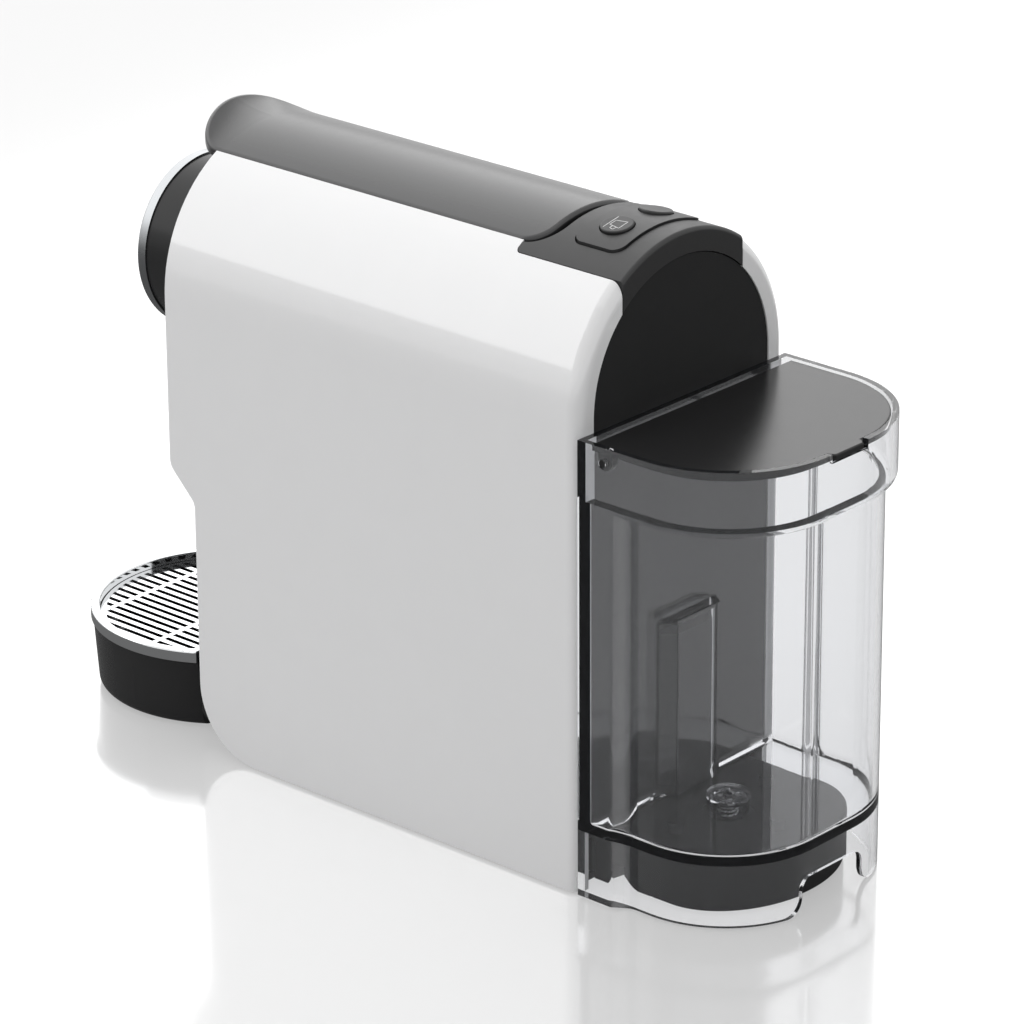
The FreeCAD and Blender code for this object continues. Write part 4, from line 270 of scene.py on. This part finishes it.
def add_floor():
    mesh = bpy.data.meshes.new("studio_floor")
    corners = [(x * FLOOR_HALF, y * FLOOR_HALF, 0) for x, y in
               ((-1, -1), (1, -1), (1, 1), (-1, 1))]
    mesh.from_pydata(corners, [], [(0, 1, 2, 3)])
    mesh.materials.append(floor_material())
    floor = new_object("studio_floor", mesh)
    floor.location.z = -FLOOR_DROP


# Materials


def plastic(name, dark, light, rough, grain, depth, specular, coat=0.0, mottle=60.0):
    """A moulding: two close shades in a soft mottle, an uneven gloss and a fine mould grain."""
    material, n = new_material(name)
    place = n.add("TexCoord").outputs["Object"]
    shade = n.blend_colours(n.noise(place, mottle, 3.0, 0.55), dark, light)
    gloss = n.spread(n.noise(place, mottle * 4, 2.0, 0.6), NOISE_SPAN, rough)
    relief = n.add("Bump", Height=n.noise(place, grain, 2.0, 0.5), Strength=0.6, Distance=depth)
    surface = n.add("BsdfPrincipled", Base_Color=shade, Roughness=gloss,
                    Normal=relief.outputs[0], Specular_IOR_Level=specular, Coat_Weight=coat,
                    Coat_Roughness=0.05)
    n.finish("OutputMaterial", surface.outputs[0])
    return material


def metal(name, dark, light, rough, streak, depth):
    """Bare or plated metal, with fine marks drawn out by the streak's scale along each axis."""
    material, n = new_material(name)
    place = n.add("TexCoord").outputs["Object"]
    marks = n.noise(n.add("Mapping", Vector=place, Scale=streak).outputs[0], 1.0, 4.0, 0.6)
    shade = n.blend_colours(marks, dark, light)
    gloss = n.spread(marks, NOISE_SPAN, rough)
    relief = n.add("Bump", Height=marks, Strength=0.5, Distance=depth)
    surface = n.add("BsdfPrincipled", Base_Color=shade, Metallic=1.0, Roughness=gloss,
                    Normal=relief.outputs[0])
    n.finish("OutputMaterial", surface.outputs[0])
    return material


def clear(name, tint, density, rough, haze):
    """A clear moulding, faintly hazy, that darkens where light runs a long way through it."""
    material, n = new_material(name)
    place = n.add("TexCoord").outputs["Object"]
    flow = n.noise(place, 18.0, 2.0, 0.5)
    gloss = n.spread(flow, NOISE_SPAN, rough)
    relief = n.add("Bump", Height=flow, Strength=0.1, Distance=0.0001)
    surface = n.add("BsdfPrincipled", Base_Color=(0.985, 0.99, 1.0, 1), Transmission_Weight=1.0,
                    IOR=1.4, Roughness=gloss, Normal=relief.outputs[0])
    veil = n.add("BsdfDiffuse", Color=(0.72, 0.74, 0.82, 1))
    absorb = n.add("VolumeAbsorption", Color=(*tint, 1), Density=density)
    n.finish("OutputMaterial", n.blend_shaders(haze, surface.outputs[0], veil.outputs[0]),
             absorb.outputs[0])
    return material


# Darker and lighter shade, least and most roughness, grain's scale and depth.
WHITE = plastic("gloss_white", (0.86, 0.86, 0.865), (0.88, 0.88, 0.885), (0.09, 0.11),
                900, 0.000003, specular=1.0, coat=0.6)
BLACK = plastic("matt_black", (0.012, 0.012, 0.013), (0.017, 0.017, 0.018), (0.42, 0.52),
                4200, 0.00004, specular=0.3)
SATIN = plastic("satin_black", (0.026, 0.026, 0.0265), (0.029, 0.029, 0.0295), (0.20, 0.22),
                3000, 0.000005, specular=0.2)
PANEL = plastic("panel_black", (0.016, 0.016, 0.0165), (0.019, 0.019, 0.0195), (0.40, 0.44),
                3000, 0.000008, specular=0.55)
SHEEN = plastic("sheen_black", (0.030, 0.030, 0.031), (0.034, 0.034, 0.035), (0.24, 0.26),
                3000, 0.000005, specular=0.65)
LID = plastic("lid_black", (0.019, 0.019, 0.0195), (0.021, 0.021, 0.0215), (0.22, 0.24),
              3000, 0.000003, specular=0.35)
FLAT = plastic("flat_black", (0.019, 0.019, 0.0195), (0.022, 0.022, 0.0225), (0.55, 0.6),
               3600, 0.000004, specular=0.15)
RUBBER = plastic("soft_rubber", (0.02, 0.02, 0.02), (0.03, 0.03, 0.03), (0.65, 0.8),
                 2400, 0.00005, specular=0.25)
GREY = plastic("filled_grey", (0.13, 0.13, 0.14), (0.19, 0.19, 0.20), (0.45, 0.6),
               1800, 0.00006, specular=0.35, mottle=220)
PUMP = plastic("filled_black", (0.05, 0.05, 0.055), (0.08, 0.08, 0.085), (0.45, 0.6),
               1800, 0.00006, specular=0.35, mottle=220)
NATURAL = plastic("natural_white", (0.74, 0.74, 0.71), (0.82, 0.82, 0.80), (0.4, 0.5),
                  1600, 0.00003, specular=0.4)
HOSE = plastic("hose_silicone", (0.55, 0.55, 0.53), (0.66, 0.66, 0.63), (0.35, 0.5),
               900, 0.00003, specular=0.4, mottle=140)
BOARD = plastic("board_lacquer", (0.02, 0.12, 0.05), (0.05, 0.22, 0.09), (0.25, 0.4),
                700, 0.00003, specular=0.5, mottle=500)
INK = plastic("icon_ink", (0.78, 0.78, 0.78), (0.84, 0.84, 0.84), (0.4, 0.5),
              2400, 0.000002, specular=0.3)
# Darker and lighter shade, least and most roughness, scale of the marks and their depth.
CHROME = metal("bright_chrome", (0.80, 0.81, 0.82), (0.86, 0.87, 0.88), (0.05, 0.11),
               (60, 60, 60), 0.000002)
RING = metal("satin_chrome", (0.37, 0.38, 0.39), (0.44, 0.45, 0.46), (0.24, 0.32),
             (60, 60, 60), 0.000002)
STEEL = metal("bright_steel", (0.52, 0.52, 0.53), (0.66, 0.66, 0.67), (0.2, 0.34),
              (260, 2600, 260), 0.00001)
ALUMINIUM = metal("cast_aluminium", (0.58, 0.59, 0.60), (0.72, 0.73, 0.74), (0.38, 0.55),
                  (900, 900, 900), 0.00006)
# Tint and strength of the absorption, least and most roughness, share of the haze.
CLEAR = clear("clear_tank", (0.88, 0.88, 0.91), 8.0, (0.0, 0.02), 0.006)
VALVE = clear("clear_valve", (0.5, 0.5, 0.55), 60.0, (0.05, 0.1), 0.02)

FINISHES = {
    WHITE: "outer_shell",
    BLACK: "base_plate front_frame coffee_spout lever_frame brew_deck capsule_chute "
           "valve_plunger",
    SATIN: "nose_drum nose_cap capsule_container drip_cup",
    PANEL: "control_panel button_bezel small_cup_button large_cup_button",
    SHEEN: "lever_cover",
    LID: "tank_lid",
    FLAT: "rear_panel tank_dock",
    RUBBER: "rubber_feet dock_seal piston_seal pump_mounts cord_gland",
    GREY: "brew_chassis brew_head piston",
    PUMP: "pump",
    NATURAL: "flow_meter",
    HOSE: "tank_hose pump_hose boiler_hose",
    BOARD: "main_board button_board",
    CHROME: "tray_ring drip_grille",
    RING: "nose_ring",
    STEEL: "valve_spring hinge_pin extraction_plate needle_plate drive_pin inlet_tube "
           "base_screws chassis_screws",
    ALUMINIUM: "thermoblock",
    CLEAR: "tank_body",
    VALVE: "valve_cage",
}


def dress_nodes():
    for material, names in FINISHES.items():
        for name in names.split():
            mesh = nodes[name].data
            mesh.materials.clear()
            mesh.materials.append(material)


# The near button's icon


def stroke_blocks(points, lift):
    """One flat block per straight stretch, longer than it by half a stroke at both ends."""
    corners, faces = [], []
    for start, end in zip(points, points[1:]):
        a, b = Vector(start), Vector(end)
        along = (b - a).normalized() * STROKE / 2
        side = Vector((-along.y, along.x))
        ring = [a - along - side, b + along - side, b + along + side, a - along + side]
        first = len(corners)
        for height in (-lift, lift):
            corners += [(p.x, p.y, height) for p in ring]
        faces += [tuple(first + i for i in face) for face in BLOCK_FACES]
    return corners, faces


def add_icon():
    """The strokes, each line of the icon a little lower than the last, in the button's face."""
    out = Vector((math.sin(BUTTON_LEAN), 0, math.cos(BUTTON_LEAN)))
    across = Vector((out.z, 0, -out.x))
    middle = ARCH_AXIS + out * BUTTON_TOP
    corners, faces = [], []
    for i, points in enumerate(ICON):
        own, sides = stroke_blocks(points, INK_DEPTH - INK_STEP * i)
        faces += [tuple(len(corners) + k for k in face) for face in sides]
        corners += [middle + (across * x + Vector((0, y, 0)) + out * z) * MM
                    for x, y, z in own]
    mesh = bpy.data.meshes.new("small_cup_icon")
    mesh.from_pydata(corners, [], faces)
    mesh.materials.append(INK)
    icon = new_object("small_cup_icon", mesh)
    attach(icon, "small_button")


add_camera()
add_world()
add_lamps()
add_floor()
dress_nodes()
add_icon()
bpy.context.scene.view_settings.view_transform = "Standard"
